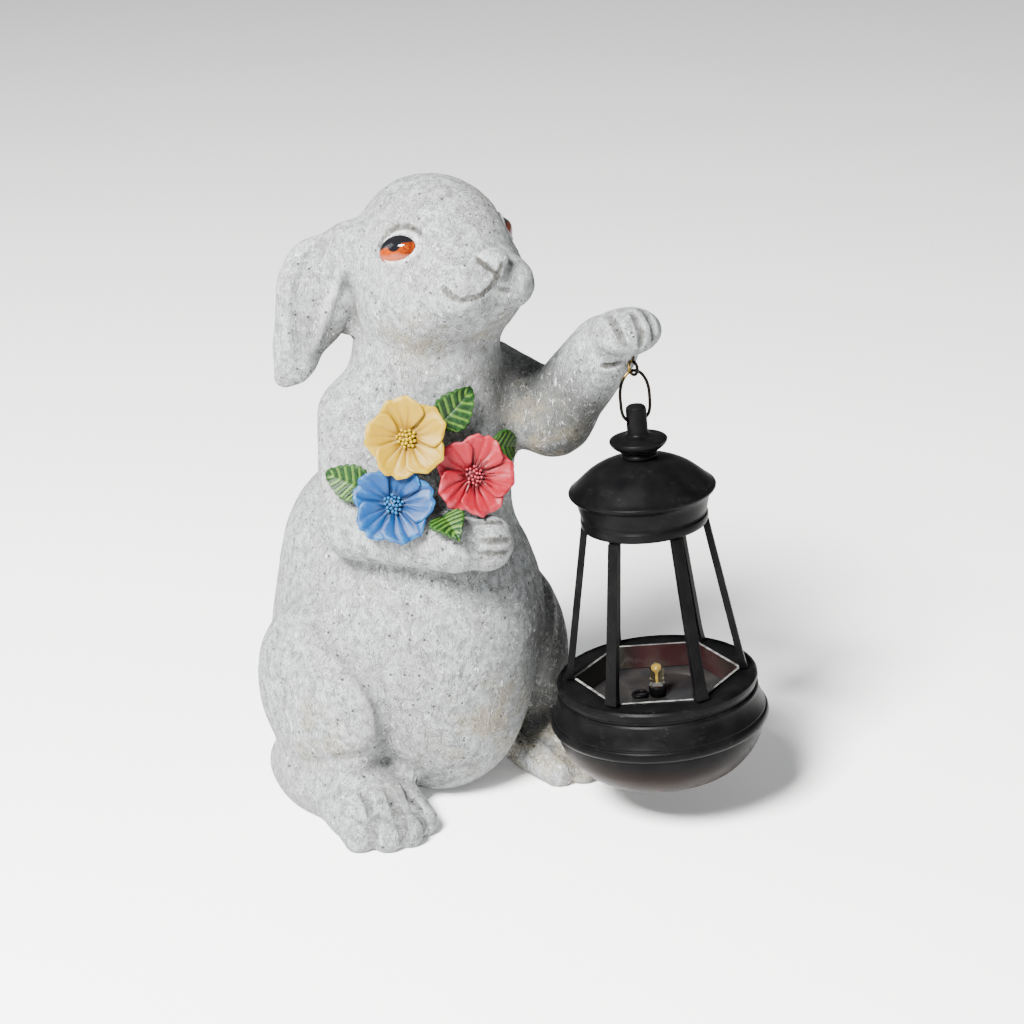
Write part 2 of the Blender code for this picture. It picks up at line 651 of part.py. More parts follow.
def lantern_posts(statue, black, axis):
    for index in range(POST_COUNT):
        out = heading(CAMERA_SIDE + (index + 0.5) * 2 * pi / POST_COUNT)
        foot = out * POST_FOOT_RADIUS + Vector((0, 0, RIM_TOP + FIT_GAP))
        head = out * POST_HEAD_RADIUS + Vector((0, 0, SKIRT_LOW - FIT_GAP))
        shape = bmesh.new()
        bmesh.ops.create_cube(shape, size=1.0)
        side = Vector((out.y, -out.x, 0.0))
        for vertex in shape.verts:
            across, through, up = vertex.co
            middle = foot.lerp(head, up + 0.5)
            width = POST_FOOT_WIDTH + (up + 0.5) * (POST_HEAD_WIDTH - POST_FOOT_WIDTH)
            vertex.co = middle + side * across * width + out * through * POST_DEPTH
        post = new_object("lantern_post_%d" % (index + 1), shape_mesh("lantern_post", shape), statue, black)
        post.parent = axis


def lantern_roof(statue, black, axis):
    wall = ROOF_WALL
    outer = [
        (KNOB_SEAT_RADIUS, DOME_TOP), (ROOF_RADIUS * 0.52, DOME_TOP - DOME_HEIGHT * 0.20),
        (ROOF_RADIUS * 0.80, DOME_TOP - DOME_HEIGHT * 0.56), (ROOF_RADIUS * 0.985, EAVE + 0.0006),
        (ROOF_RADIUS, EAVE - 0.0006), (SKIRT_RADIUS + 0.0008, EAVE - SKIRT_COVE),
        (SKIRT_RADIUS - 0.0004, SKIRT_LOW + 0.0042),
        (SKIRT_RADIUS, SKIRT_LOW + 0.0026), (SKIRT_RADIUS - 0.0006, SKIRT_LOW),
        (SKIRT_RADIUS - SKIRT_WALL, SKIRT_LOW),
    ]
    inner = [
        (SKIRT_RADIUS - SKIRT_WALL, EAVE - SKIRT_COVE),
        (ROOF_RADIUS * 0.78 - wall, DOME_TOP - DOME_HEIGHT * 0.58 - wall),
        (KNOB_SEAT_RADIUS, DOME_TOP - wall - 0.0004),
    ]
    turned("lantern_roof", [(0.0, DOME_TOP)] + outer + inner + [(0.0, DOME_TOP - wall)], statue, black, axis)


def lantern_knob(statue, cutters, black, axis):
    outline = [
        (0.0, STEM_TOP), (STEM_RADIUS * 0.75, STEM_TOP - 0.0004), (STEM_RADIUS, STEM_TOP - 0.0016),
        (STEM_RADIUS, KNOB_DISC + KNOB_CROWN),
        (KNOB_RADIUS * 0.72, KNOB_DISC + KNOB_CROWN * 0.65), (KNOB_RADIUS, KNOB_DISC),
        (KNOB_RADIUS * 0.86, KNOB_DISC - KNOB_UNDERCUT * 0.45),
        (KNOB_SEAT_RADIUS * 0.92, KNOB_DISC - KNOB_UNDERCUT),
        (KNOB_SEAT_RADIUS, KNOB_LOW + 0.0010), (KNOB_SEAT_RADIUS, KNOB_LOW), (0.0, KNOB_LOW),
    ]
    knob = turned("lantern_knob", outline, statue, black, axis, 16)
    reach = STEM_RADIUS * 2
    bore = new_object("ring_hole", drum_mesh("ring_hole", WIRE_HOLE / 2, -reach, reach, 12), cutters)
    bore.parent = axis
    bore.location = (0, 0, HOLE_LEVEL)
    along = heading(RING_HEADING + pi / 2)
    bore.rotation_euler = along.to_track_quat("Z", "Y").to_euler()
    cut(knob, bore)


def lantern_ring(statue, wire, axis):
    """An oval wire ring through the stem, flatter where it crosses the hole."""
    side = heading(RING_HEADING + pi / 2)
    middle = RING_LOW + RING_HALF_HEIGHT
    points = []
    for index in range(RING_POINTS):
        angle = 2 * pi * index / RING_POINTS
        across = RING_HALF_WIDTH * cos(angle)
        level = middle + RING_HALF_HEIGHT * sin(angle)
        if sin(angle) < 0:
            level = middle - ring_drop(across)
        points.append(side * across + Vector((0, 0, level)))
    ring = solid_wire("lantern_ring", points, WIRE_DIAMETER, True, 1, statue, wire)
    ring.parent = axis


def paw_eyelet(rabbit, statue, cutters, wire):
    """A wire eye with a shank set in the far paw."""
    side = heading(EYELET_HEADING + pi / 2)
    low = at(*EYELET_PLACE)
    radius = (EYELET_WIDTH - WIRE_DIAMETER) / 2
    middle = low + Vector((0, 0, radius))
    turn = [2 * pi * index / 16 + pi / 2 for index in range(17)]
    points = [middle + side * radius * cos(angle) + Vector((0, 0, radius * sin(angle))) for angle in turn]
    top = points[0]
    loop = solid_wire("paw_eyelet", points[:-1], WIRE_DIAMETER, True, 1, statue, wire)
    mesh = drum_mesh("eyelet_shank", WIRE_DIAMETER / 2 * 0.98, 0.0, SHANK_LENGTH, 8)
    shank = new_object("eyelet_shank", mesh, cutters)
    shank.location = top
    shank.display_type = "WIRE"
    shank.hide_render = True
    joined = loop.modifiers.new("Shank", "BOOLEAN")
    joined.operation = "UNION"
    joined.object = shank
    bore = drum_mesh("shank_bore", SHANK_BORE / 2, -0.02, SHANK_LENGTH + FIT_GAP, 10)
    bore_tool = new_object("shank_bore", bore, cutters)
    bore_tool.location = top
    cut(rabbit, bore_tool)


def led(statue, clear, dark, axis):
    """The lamp on its holder, with a grommet beside it on the tray floor."""
    holder_low = FLOOR_TOP + FIT_GAP
    bulb_low = holder_low + HOLDER_HEIGHT + FIT_GAP
    holder = drum_mesh("led_holder", HOLDER_DIAMETER / 2, holder_low, holder_low + HOLDER_HEIGHT, 12)
    new_object("led_holder", holder, statue, dark).parent = axis
    radius = LED_DIAMETER / 2
    flange = radius * 1.16
    outline = [
        (0.0, bulb_low + LED_HEIGHT), (radius * 0.62, bulb_low + LED_HEIGHT - radius * 0.22),
        (radius * 0.94, bulb_low + LED_HEIGHT - radius * 0.66), (radius, bulb_low + LED_HEIGHT - radius),
        (radius, bulb_low + 0.0010), (flange, bulb_low + 0.0010), (flange, bulb_low), (0.0, bulb_low),
    ]
    turned("led_bulb", outline, statue, clear, axis, 14)
    ring = []
    centre = heading(CAMERA_SIDE - pi / 2) * 0.0062 + Vector((0, 0, FLOOR_TOP + FIT_GAP + GROMMET_WIRE / 2))
    for index in range(16):
        angle = 2 * pi * index / 16
        reach = (GROMMET_DIAMETER - GROMMET_WIRE) / 2
        ring.append(centre + Vector((reach * cos(angle), reach * sin(angle), 0)))
    solid_wire("floor_grommet", ring, GROMMET_WIRE, True, 1, statue, dark).parent = axis


def stand_flat(rabbit, cutters):
    """Cut the clay level with the ground."""
    shape = bmesh.new()
    bmesh.ops.create_cube(shape, size=1.0)
    ground = new_object("ground_cut", shape_mesh("ground_cut", shape), cutters)
    ground.scale = (0.4, 0.4, 0.1)
    ground.location = (0, 0, -0.05)
    cut(rabbit, ground)


def main():
    for thing in list(bpy.data.objects):
        bpy.data.objects.remove(thing, do_unlink=True)
    statue = collection_named("rabbit_garden_statue")
    cutters = collection_named("cutters")
    stone = material_named("cast_stone", (0.42, 0.43, 0.42), 0.85)
    eye_gloss = material_named("eye_gloss", (0.25, 0.05, 0.02), 0.08)
    green = material_named("leaf_green", (0.08, 0.24, 0.05), 0.6)
    black = material_named("black_plastic", (0.012, 0.012, 0.012), 0.38)
    plate = material_named("tray_plate", (0.03, 0.03, 0.035), 0.12)
    wire = material_named("black_wire", (0.05, 0.04, 0.03), 0.35, 1.0)
    clear = material_named("clear_lens", (0.9, 0.85, 0.6), 0.05)

    rabbit = clay_figure(statue, cutters, stone)
    stand_flat(rabbit, cutters)
    eyes(rabbit, statue, cutters, eye_gloss)
    for name, near, direction, lift, petal_turn, colour in FLOWERS:
        flower(name, near, direction, lift, petal_turn, material_named(name, colour, 0.55), statue)
    for name, root, tip, direction, broad in LEAVES:
        leaf(name, root, tip, direction, broad, green, statue)

    axis = lantern_axis(statue)
    lantern_base(statue, black, axis)
    lantern_floor(statue, plate, axis)
    lantern_rim(statue, cutters, black, axis)
    lantern_posts(statue, black, axis)
    lantern_roof(statue, black, axis)
    lantern_knob(statue, cutters, black, axis)
    lantern_ring(statue, wire, axis)
    paw_eyelet(rabbit, statue, cutters, wire)
    led(statue, clear, black, axis)


main()
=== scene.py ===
"""Looks of the solar rabbit garden statue: cast stone rabbit, painted posy and hanging black lantern."""
from math import atan2, cos, pi, radians, sin

import bmesh
import bpy
import numpy as np
from mathutils import Euler, Matrix, Vector, noise


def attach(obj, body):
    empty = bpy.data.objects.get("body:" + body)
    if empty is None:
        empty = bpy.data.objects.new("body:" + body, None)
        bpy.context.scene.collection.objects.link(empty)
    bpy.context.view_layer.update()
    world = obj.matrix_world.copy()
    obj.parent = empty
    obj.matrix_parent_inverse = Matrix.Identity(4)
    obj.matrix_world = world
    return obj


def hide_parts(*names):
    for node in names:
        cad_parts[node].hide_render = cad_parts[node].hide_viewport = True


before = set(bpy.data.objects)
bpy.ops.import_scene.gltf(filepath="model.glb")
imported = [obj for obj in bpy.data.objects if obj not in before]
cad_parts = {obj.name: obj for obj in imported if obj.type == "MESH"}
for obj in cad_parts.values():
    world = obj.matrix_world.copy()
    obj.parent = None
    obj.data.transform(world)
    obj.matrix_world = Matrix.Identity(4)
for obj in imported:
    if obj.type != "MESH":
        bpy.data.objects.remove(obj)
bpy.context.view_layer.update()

MM = 0.001

# View and light
CAMERA_AZIMUTH = radians(-36.0)
CAMERA_ELEVATION = radians(20.5)
CAMERA_ROLL = radians(-1.5)
CAMERA_DISTANCE = 0.800
CAMERA_TARGET = Vector((0.0018, -0.060, 0.115))
SENSOR_WIDTH = 36.0
FOCAL_PIXELS = 2400.0
PICTURE_PIXELS = 1024.0


def stage_and_light():
    """Pale floor, soft studio light and the camera."""
    bpy.ops.mesh.primitive_plane_add(size=6.0, location=(0, 0, -0.0002))
    floor = bpy.context.object
    floor.name = "floor"
    paint = bpy.data.materials.new("floor_paint")
    paint.use_nodes = True
    shader = paint.node_tree.nodes["Principled BSDF"]
    shader.inputs["Base Color"].default_value = (0.92, 0.92, 0.92, 1.0)
    shader.inputs["Roughness"].default_value = 0.9
    shader.inputs["Emission Color"].default_value = (1.0, 1.0, 1.0, 1.0)
    shader.inputs["Emission Strength"].default_value = 0.2
    floor.data.materials.append(paint)

    world = bpy.data.worlds.new("studio")
    bpy.context.scene.world = world
    world.use_nodes = True
    sky = world.node_tree.nodes["Background"]
    sky.inputs["Color"].default_value = (0.97, 0.98, 1.0, 1.0)
    sky.inputs["Strength"].default_value = 0.26

    lamps = [
        # name, place, size, power, colour
        ("key", (-0.92, -0.42, 1.10), 0.42, 165.0, (1.0, 0.99, 0.97)),
        ("fill", (0.9, -1.1, 0.6), 0.9, 1.6, (1.0, 0.97, 0.93)),
        ("rim", (-0.9, 0.8, 0.8), 0.6, 5.0, (0.93, 0.96, 1.0)),
    ]
    for name, spot, size, power, colour in lamps:
        data = bpy.data.lights.new(name, "AREA")
        data.size = size
        data.energy = power
        data.color = colour
        lamp = bpy.data.objects.new(name, data)
        bpy.context.scene.collection.objects.link(lamp)
        lamp.location = spot
        lamp.rotation_euler = (Vector((0, 0, 0.1)) - Vector(spot)).to_track_quat("-Z", "Y").to_euler()

    back = Vector((
        sin(CAMERA_AZIMUTH) * cos(CAMERA_ELEVATION),
        -cos(CAMERA_AZIMUTH) * cos(CAMERA_ELEVATION),
        sin(CAMERA_ELEVATION),
    ))
    data = bpy.data.cameras.new("camera")
    data.sensor_width = SENSOR_WIDTH
    data.lens = SENSOR_WIDTH * FOCAL_PIXELS / PICTURE_PIXELS
    camera = bpy.data.objects.new("camera", data)
    bpy.context.scene.collection.objects.link(camera)
    turn = (-back).to_track_quat("-Z", "Y").to_matrix() @ Matrix.Rotation(CAMERA_ROLL, 3, "Z")
    camera.location = CAMERA_TARGET + back * CAMERA_DISTANCE
    camera.rotation_euler = turn.to_euler()
    bpy.context.scene.camera = camera


# Shader maths: a wrapped socket that adds Math nodes for Python operators

class Wire:
    """A value in a material's node tree, with Python's operators as Math nodes."""

    def __init__(self, paint, socket):
        self.paint = paint
        self.socket = socket

    def math(self, operation, *others):
        return self.paint.node("ShaderNodeMath", {"operation": operation}, [self, *others])

    def __add__(self, other):
        return self.math("ADD", other)

    __radd__ = __add__

    def __mul__(self, other):
        return self.math("MULTIPLY", other)

    __rmul__ = __mul__

    def __sub__(self, other):
        return self.math("SUBTRACT", other)

    def __rsub__(self, other):
        return self.paint.node("ShaderNodeMath", {"operation": "SUBTRACT"}, [other, self])

    def size(self):
        return self.math("ABSOLUTE")

    def below(self, other):
        return self.math("MINIMUM", other)

    def above(self, other):
        return self.math("MAXIMUM", other)

    def ramp(self, low, high):
        """0 at low, 1 at high, smooth between; low may be the larger."""
        settings = {"interpolation_type": "SMOOTHSTEP", "clamp": True}
        sockets = {"Value": self, "From Min": low, "From Max": high}
        return self.paint.node("ShaderNodeMapRange", settings, sockets)


class Paint:
    """A material being built round its Principled shader."""

    def __init__(self, name, roughness=0.5, **plain):
        self.material = bpy.data.materials.new(name)
        self.material.use_nodes = True
        self.tree = self.material.node_tree
        self.shader = self.tree.nodes["Principled BSDF"]
        self.shader.inputs["Roughness"].default_value = roughness
        for socket, value in plain.items():
            self.shader.inputs[socket.replace("_", " ")].default_value = value

    def node(self, kind, settings=None, sockets=None, output=0):
        """Add a node, set its settings, then its sockets from values or wires."""
        made = self.tree.nodes.new(kind)
        for key, value in (settings or {}).items():
            setattr(made, key, value)
        pairs = sockets.items() if isinstance(sockets, dict) else enumerate(sockets or [])
        for key, value in pairs:
            if isinstance(value, Wire):
                self.tree.links.new(value.socket, made.inputs[key])
            else:
                made.inputs[key].default_value = value
        return Wire(self, made.outputs[output])

    def place(self):
        """The object's own coordinates, in millimetres."""
        spot = self.node("ShaderNodeTexCoord", output=3)
        return self.node("ShaderNodeVectorMath", {"operation": "SCALE"}, {0: spot, "Scale": 1.0 / MM})

    def split(self, place, axis):
        """One coordinate of a place: 0, 1 or 2."""
        return self.node("ShaderNodeSeparateXYZ", {}, [place], axis)

    def away_from(self, place, centre):
        return self.node("ShaderNodeVectorMath", {"operation": "DISTANCE"}, [place, centre], "Value")

    def shifted(self, place, offset):
        return self.node("ShaderNodeVectorMath", {"operation": "ADD"}, [place, offset])

    def noise(self, place, scale, detail=3.0, rough=0.5, warp=0.0):
        sockets = {"Vector": place, "Scale": scale, "Detail": detail}
        sockets.update({"Roughness": rough, "Distortion": warp})
        return self.node("ShaderNodeTexNoise", {}, sockets)

    def cells(self, place, scale):
        return self.node("ShaderNodeTexVoronoi", {}, {"Vector": place, "Scale": scale}, "Distance")

    def attribute(self, name):
        return self.node("ShaderNodeAttribute", {"attribute_name": name}, {}, "Fac")

    def uv(self):
        spot = self.node("ShaderNodeTexCoord", output=2)
        parts = self.tree.nodes.new("ShaderNodeSeparateXYZ")
        self.tree.links.new(spot.socket, parts.inputs[0])
        return Wire(self, parts.outputs[0]), Wire(self, parts.outputs[1])

    def mix(self, share, first, second):
        """Colour mix; a colour is a tuple of three or a wire."""
        def wide(colour):
            return colour if isinstance(colour, Wire) else (*colour, 1.0)
        sockets = {0: share, 6: wide(first), 7: wide(second)}
        return self.node("ShaderNodeMix", {"data_type": "RGBA"}, sockets, output=2)

    def colour(self, wire):
        self.tree.links.new(wire.socket, self.shader.inputs["Base Color"])

    def roughness(self, wire):
        self.tree.links.new(wire.socket, self.shader.inputs["Roughness"])

    def bump(self, height, depth, strength=1.0):
        """Relief: height 0 to 1 stands for a depth in millimetres."""
        sockets = {"Height": height, "Distance": depth * MM, "Strength": strength}
        out = self.node("ShaderNodeBump", {}, sockets)
        self.tree.links.new(out.socket, self.shader.inputs["Normal"])


# Where the stone is stained brown, in millimetres: centre and reach
STAINS = [
    ((-20, -38, 172), 17),      # jaw
    ((8, -44, 176), 12),        # throat
    ((-48, -14, 34), 20),       # knee
    ((0, -50, 32), 30),         # foot of the belly
    ((36, -40, 4), 34),         # far foot
    ((30, -40, 134), 24),       # far elbow
]


# Painted shade: where the stone is darkened on its unlit far side and on the near ear's inner face, in
# millimetres: centre and reach
PAINTED_SHADE_SPOTS = [
    ((25, -48, 148), 26),       # inside of the raised forearm
    ((38, -48, 134), 24),       # far elbow
    ((44, -24, 92), 26),        # far flank
    ((48, -20, 30), 40),        # far foot and thigh
    ((34, -36, 60), 30),        # far side of the belly
    ((-29, 2, 172), 16),        # inner face of the near ear
]


def stone_paint():
    """Grey cast stone: mottled, pitted, scratched with pale hair strokes and stained brown; painted shade
    darkens its far side and its creases, and raised beads are pale, partly a painted highlight.
    """
    paint = Paint("cast_stone", 0.88, Specular_IOR_Level=0.18)
    place = paint.place()
    crease_shade = paint.attribute("crease_shade")
    pale_ridge_and_highlight = paint.attribute("pale_ridge_and_highlight")
    broad = paint.noise(place, 0.045, 2.0)
    mottle = paint.noise(place, 0.32, 4.0, 0.62)
    grain = paint.noise(place, 2.6, 3.0, 0.65)
    warped = paint.node("ShaderNodeVectorMath", {"operation": "MULTIPLY"}, [place, (1.0, 1.0, 0.42)])
    curl = paint.noise(warped, 0.34, 1.5, 0.5, 1.2)
    curl_2 = paint.noise(paint.shifted(warped, (31.0, 7.0, 12.0)), 0.46, 1.5, 0.5, 1.6)
    gaps = paint.noise(paint.shifted(place, (5.0, 40.0, 9.0)), 0.42, 2.0).ramp(0.42, 0.62)
    hairs = (curl - 0.5).size().ramp(0.016, 0.004).above((curl_2 - 0.47).size().ramp(0.014, 0.004)) * gaps
    scores = (curl - 0.56).size().ramp(0.014, 0.003).above((curl_2 - 0.55).size().ramp(0.012, 0.003))
    spots = paint.cells(place, 0.34)
    rare = paint.noise(paint.shifted(place, (70.0, 3.0, 1.0)), 0.22, 1.0).ramp(0.46, 0.58)
    pits = spots.ramp(0.20, 0.10) * rare
    specks = paint.cells(paint.shifted(place, (9.0, 9.0, 9.0)), 1.1).ramp(0.22, 0.10)
    specks = specks * mottle.ramp(0.45, 0.62)

    colour = paint.mix(mottle.ramp(0.36, 0.62), (0.135, 0.144, 0.146), (0.285, 0.302, 0.313))
    colour = paint.mix(broad.ramp(0.35, 0.7) * 0.45, colour, (0.20, 0.203, 0.19))
    # Painted shade: the unlit far side and the ear's inner face are darkened.
    shade = 0.0
    for centre, reach in PAINTED_SHADE_SPOTS:
        shade = paint.away_from(place, centre).ramp(reach, reach * 0.3) + shade
    colour = paint.mix((shade.below(1.0) + broad * 0.3 - 0.15) * 0.80, colour, (0.032, 0.034, 0.032))
    stain = 0.0
    for centre, reach in STAINS:
        stain = paint.away_from(place, centre).ramp(reach, reach * 0.25) + stain
    patches = paint.noise(paint.shifted(place, (2.0, 8.0, 60.0)), 0.12, 3.0).ramp(0.40, 0.62)
    stain = stain.below(1.0) * patches
    colour = paint.mix(stain * 0.72, colour, (0.185, 0.155, 0.10))
    colour = paint.mix(grain.ramp(0.58, 0.40) * 0.45, colour, (0.075, 0.078, 0.076))
    # Pale hair strokes, and pale raised beads: paint on the eye and nose rims, a painted highlight along
    # the far thigh's edge.
    colour = paint.mix((hairs * 0.80 + pale_ridge_and_highlight * 0.5).below(1.0), colour, (0.52, 0.53, 0.53))
    colour = paint.mix(scores * 0.55, colour, (0.055, 0.052, 0.046))
    colour = paint.mix(specks * 0.75, colour, (0.03, 0.03, 0.027))
    colour = paint.mix(pits * 0.85, colour, (0.022, 0.02, 0.018))
    # Painted shade in creases and pressed grooves, from the crease shade attribute.
    colour = paint.mix(crease_shade.ramp(0.12, 0.72) * 0.90, colour, (0.026, 0.023, 0.018))
    paint.colour(colour)
    height = mottle * 0.55 + grain * 0.35 + hairs * 0.45 - scores * 0.50 - specks * 0.5 - pits * 1.0
    paint.bump(height, 0.42, 1.0)
    return paint.material


def flower_paint(name, deep, middle, pale):
    """Painted petals: deep in the throat, painted shade in the grooves, dry-brushed pale on ridges and
    rims.
    """
    paint = Paint(name, 0.48, Specular_IOR_Level=0.22)
    reach, height = paint.uv()
    place = paint.place()
    brush = paint.noise(place, 0.9, 3.0, 0.6)
    fine = paint.noise(place, 3.2, 2.0, 0.6)
    colour = paint.mix(reach.ramp(0.05, 0.50), deep, middle)
    # Painted shade: darker where the petal is low, in its folds and at its sides near the base.
    colour = paint.mix((0.55 - height).ramp(0.0, 0.45) * 0.75, colour, deep)
    dry = (height * 0.85 + reach.ramp(0.45, 1.0) * 0.25 + brush * 0.6 - 0.92).ramp(0.0, 0.45)
    colour = paint.mix(dry * 0.80, colour, pale)
    paint.colour(colour)
    paint.roughness(brush * 0.22 + 0.36)
    paint.bump(brush * 0.6 + fine * 0.4, 0.14, 0.7)
    return paint.material


def leaf_paint():
    """Green leaf, dark between its veins, with pale veins and rim."""
    paint = Paint("leaf_green", 0.5, Specular_IOR_Level=0.2)
    vein, rim = paint.uv()
    place = paint.place()
    brush = paint.noise(place, 1.1, 3.0, 0.6)
    colour = paint.mix(brush.ramp(0.35, 0.66), (0.0008, 0.008, 0.0008), (0.003, 0.028, 0.002))
    colour = paint.mix(rim.ramp(0.62, 1.0) * 0.55, colour, (0.012, 0.05, 0.003))
    pale = (vein * 0.8 + brush * 0.25 - 0.1).ramp(0.25, 0.85) * 0.8
    colour = paint.mix(pale, colour, (0.06, 0.125, 0.015))
    paint.colour(colour)
    paint.roughness(brush * 0.2 + 0.4)
    paint.bump(brush, 0.10, 0.6)
    return paint.material


def eye_paint():
    """Glossy eye: a black pupil and lid shadow over amber. U and V are millimetres from its middle."""
    paint = Paint("eye_gloss", 0.05, Specular_IOR_Level=0.30)
    across, up = paint.uv()
    place = paint.place()
    streak = paint.noise(place, 1.1, 3.0, 0.6)
    amber = paint.mix(across.ramp(-2.0, 4.5), (0.15, 0.020, 0.001), (0.05, 0.005, 0.001))
    amber = paint.mix(streak.ramp(0.35, 0.7) * 0.5, amber, (0.21, 0.042, 0.002))
    span = (across + 0.8) * (across + 0.8) + (up - 0.9) * (up - 0.9)
    pupil = span.ramp(7.4, 5.8)
    lid = up.ramp(0.2, 0.8)
    colour = paint.mix(pupil.above(lid), amber, (0.004, 0.004, 0.005))
    paint.colour(colour)
    return paint.material


def black_paint():
    """Satin black plastic with a fine skin, a few scuffs and a painted brown reflection low down."""
    paint = Paint("black_plastic", 0.36, Specular_IOR_Level=0.035)
    place = paint.place()
    cloud = paint.noise(place, 0.12, 3.0)
    fine = paint.noise(place, 3.5, 2.0, 0.6)
    scuff = (paint.noise(place, 0.55, 2.0, 0.5, 1.5) - 0.5).size().ramp(0.006, 0.001)
    scuff = scuff * paint.noise(paint.shifted(place, (4.0, 50.0, 2.0)), 0.15, 1.0).ramp(0.56, 0.66)
    colour = paint.mix(cloud.ramp(0.35, 0.7), (0.0016, 0.0016, 0.0018), (0.0032, 0.0031, 0.0033))
    # Painted reflection: brown towards the bottom of the lantern.
    low = paint.split(place, 2)
    colour = paint.mix(low.ramp(33.0, 22.0) * 0.8, colour, (0.0075, 0.0028, 0.0014))
    colour = paint.mix(scuff * 0.5, colour, (0.05, 0.046, 0.042))
    paint.colour(colour)
    paint.roughness(cloud * 0.16 + fine * 0.08 + 0.26)
    paint.bump(fine * 0.8 + cloud * 0.5, 0.05, 0.5)
    return paint.material


def plate_paint():
    """Dark glossy plate on the tray floor."""
    paint = Paint("tray_plate", 0.12, Specular_IOR_Level=0.25)
    place = paint.place()
    cloud = paint.noise(place, 0.10, 3.0)
    paint.colour(paint.mix(cloud.ramp(0.3, 0.7), (0.008, 0.008, 0.009), (0.015, 0.014, 0.013)))
    paint.roughness(cloud * 0.15 + 0.08)
    paint.bump(cloud, 0.05, 0.3)
    return paint.material


def wire_paint():
    """Blackened brass wire, with a painted warm highlight in brass colour high on the eyelet's right."""
    paint = Paint("black_wire", 0.30, Metallic=1.0)
    place = paint.place()
    # Painted highlight: bare brass colour high on the eyelet's right.
    highlight_top = paint.split(place, 2).ramp(156.0, 159.5)
    side = paint.split(place, 1).ramp(-75.5, -74.0)
    highlight_noise = paint.noise(place, 0.8, 2.0).ramp(0.38, 0.55)
    colour = paint.mix(highlight_top * side * highlight_noise, (0.006, 0.005, 0.0045), (0.36, 0.23, 0.06))
    paint.colour(colour)
    paint.bump(paint.noise(place, 2.5, 2.0), 0.04, 0.5)
    return paint.material


def lens_paint():
    """Clear lamp lens with a warm tint at its head."""
    paint = Paint("clear_lens", 0.04, IOR=1.45, Transmission_Weight=1.0)
    place = paint.place()
    head = paint.split(place, 2).ramp(47.0, 49.0)
    paint.colour(paint.mix(head, (0.95, 0.95, 0.93), (0.96, 0.86, 0.50)))
    return paint.material


# Clay: the figure is a smooth blend of balls and limbs, then tools press lines into it.
# Lengths are millimetres. The near side is -X.
FINE_VOXEL = 1.42


def turn_matrix(degrees):
    return np.array(Euler([radians(angle) for angle in degrees]).to_matrix())


class Ball:
    """An ellipsoid of clay, turned by degrees about X, Y and Z."""

    def __init__(self, centre, radii, turn=(0, 0, 0)):
        self.centre = np.array(centre, float)
        self.radii = np.array(radii, float)
        self.axes = turn_matrix(turn)

    def distance(self, points):
        local = (points - self.centre) @ self.axes
        near = np.linalg.norm(local / self.radii, axis=1)
        slope = np.linalg.norm(local / self.radii ** 2, axis=1)
        return near * (near - 1.0) / np.maximum(slope, 1e-9)

    def close_to(self, points, margin):
        return np.linalg.norm(points - self.centre, axis=1) < self.radii.max() + margin

    def rough(self, mesh, side, swell):
        flip = Matrix.Diagonal((side, 1, 1, 1))
        radii = self.radii + swell
        shape = flip @ Matrix.Translation(self.centre) @ Matrix(self.axes.tolist()).to_4x4()
        shape = shape @ Matrix.Diagonal((*radii, 1)) @ flip
        bmesh.ops.create_uvsphere(mesh, u_segments=40, v_segments=24, radius=1.0, matrix=shape)


class Limb:
    """A rounded, tapered limb of clay between two points."""

    def __init__(self, start, end, start_radius, end_radius):
        self.start = np.array(start, float)
        self.end = np.array(end, float)
        self.radii = (start_radius, end_radius)

    def distance(self, points):
        along = self.end - self.start
        share = np.clip((points - self.start) @ along / (along @ along), 0.0, 1.0)
        radius = self.radii[0] + share * (self.radii[1] - self.radii[0])
        return np.linalg.norm(points - self.start - share[:, None] * along, axis=1) - radius

    def close_to(self, points, margin):
        middle = (self.start + self.end) / 2
        half = np.linalg.norm(self.end - self.start) / 2
        return np.linalg.norm(points - middle, axis=1) < half + max(self.radii) + margin

    def rough(self, mesh, side, swell):
        beads = 2 + int(np.linalg.norm(self.end - self.start) / (0.4 * min(self.radii)))
        for share in np.linspace(0.0, 1.0, beads):
            centre = self.start + share * (self.end - self.start)
            radius = self.radii[0] + share * (self.radii[1] - self.radii[0]) + swell
            middle = Matrix.Translation((centre[0] * side, centre[1], centre[2]))
            bmesh.ops.create_icosphere(mesh, subdivisions=3, radius=radius, matrix=middle)


SKIN_REACH = 8.0            # how far from the skin a form still counts


def smooth_min(first, second, reach):
    """Blend two distances into one, rounding the seam over the reach."""
    share = np.clip(0.5 + 0.5 * (second - first) / reach, 0.0, 1.0)
    return second * (1.0 - share) + first * share - reach * share * (1.0 - share)


# Forms that are the same on both sides: (form, blend reach)
PAIRED_FORMS = [
    (Ball((-40, -2, 41), (18, 31, 33), (-14, 0, 4)), 3),            # thigh
    (Ball((-40, -3, 9), (16.5, 31, 15)), 6),                        # foot
    (Ball((-40, -29, 6), (16.5, 19, 11.5)), 4),                     # ball of the foot
    (Ball((-14, -27, 185), (14, 18, 15)), 9),                       # cheek
    (Ball((-8.8, -50.5, 190.5), (9.5, 9, 9)), 3),                   # whisker pad
    (Ball((-33.5, 0.5, 184), (5, 13, 20), (9, 0, 49)), 4),          # ear
    (Ball((-37, 6, 169), (4.6, 8.6, 17), (9, 0, 49)), 4),           # lower half of the ear
    (Limb((-38.5, 8, 164), (-41, 11.5, 153.5), 4.4, 2.8), 5),       # tip of the ear
    (Ball((-24, -9, 200), (8, 10, 9)), 6),                          # root of the ear
]
TOES = [
    # root across, tip across, tip forward
    (-50.5, -53.0, -41.5),
    (-42.5, -45.5, -47.5),
    (-34.5, -38.0, -49.0),
    (-26.5, -30.0, -45.5),
]
for root, tip, forward in TOES:
    PAIRED_FORMS.append((Limb((root, -27, 8), (tip, forward, 4.2), 6.0, 5.8), 2.2))

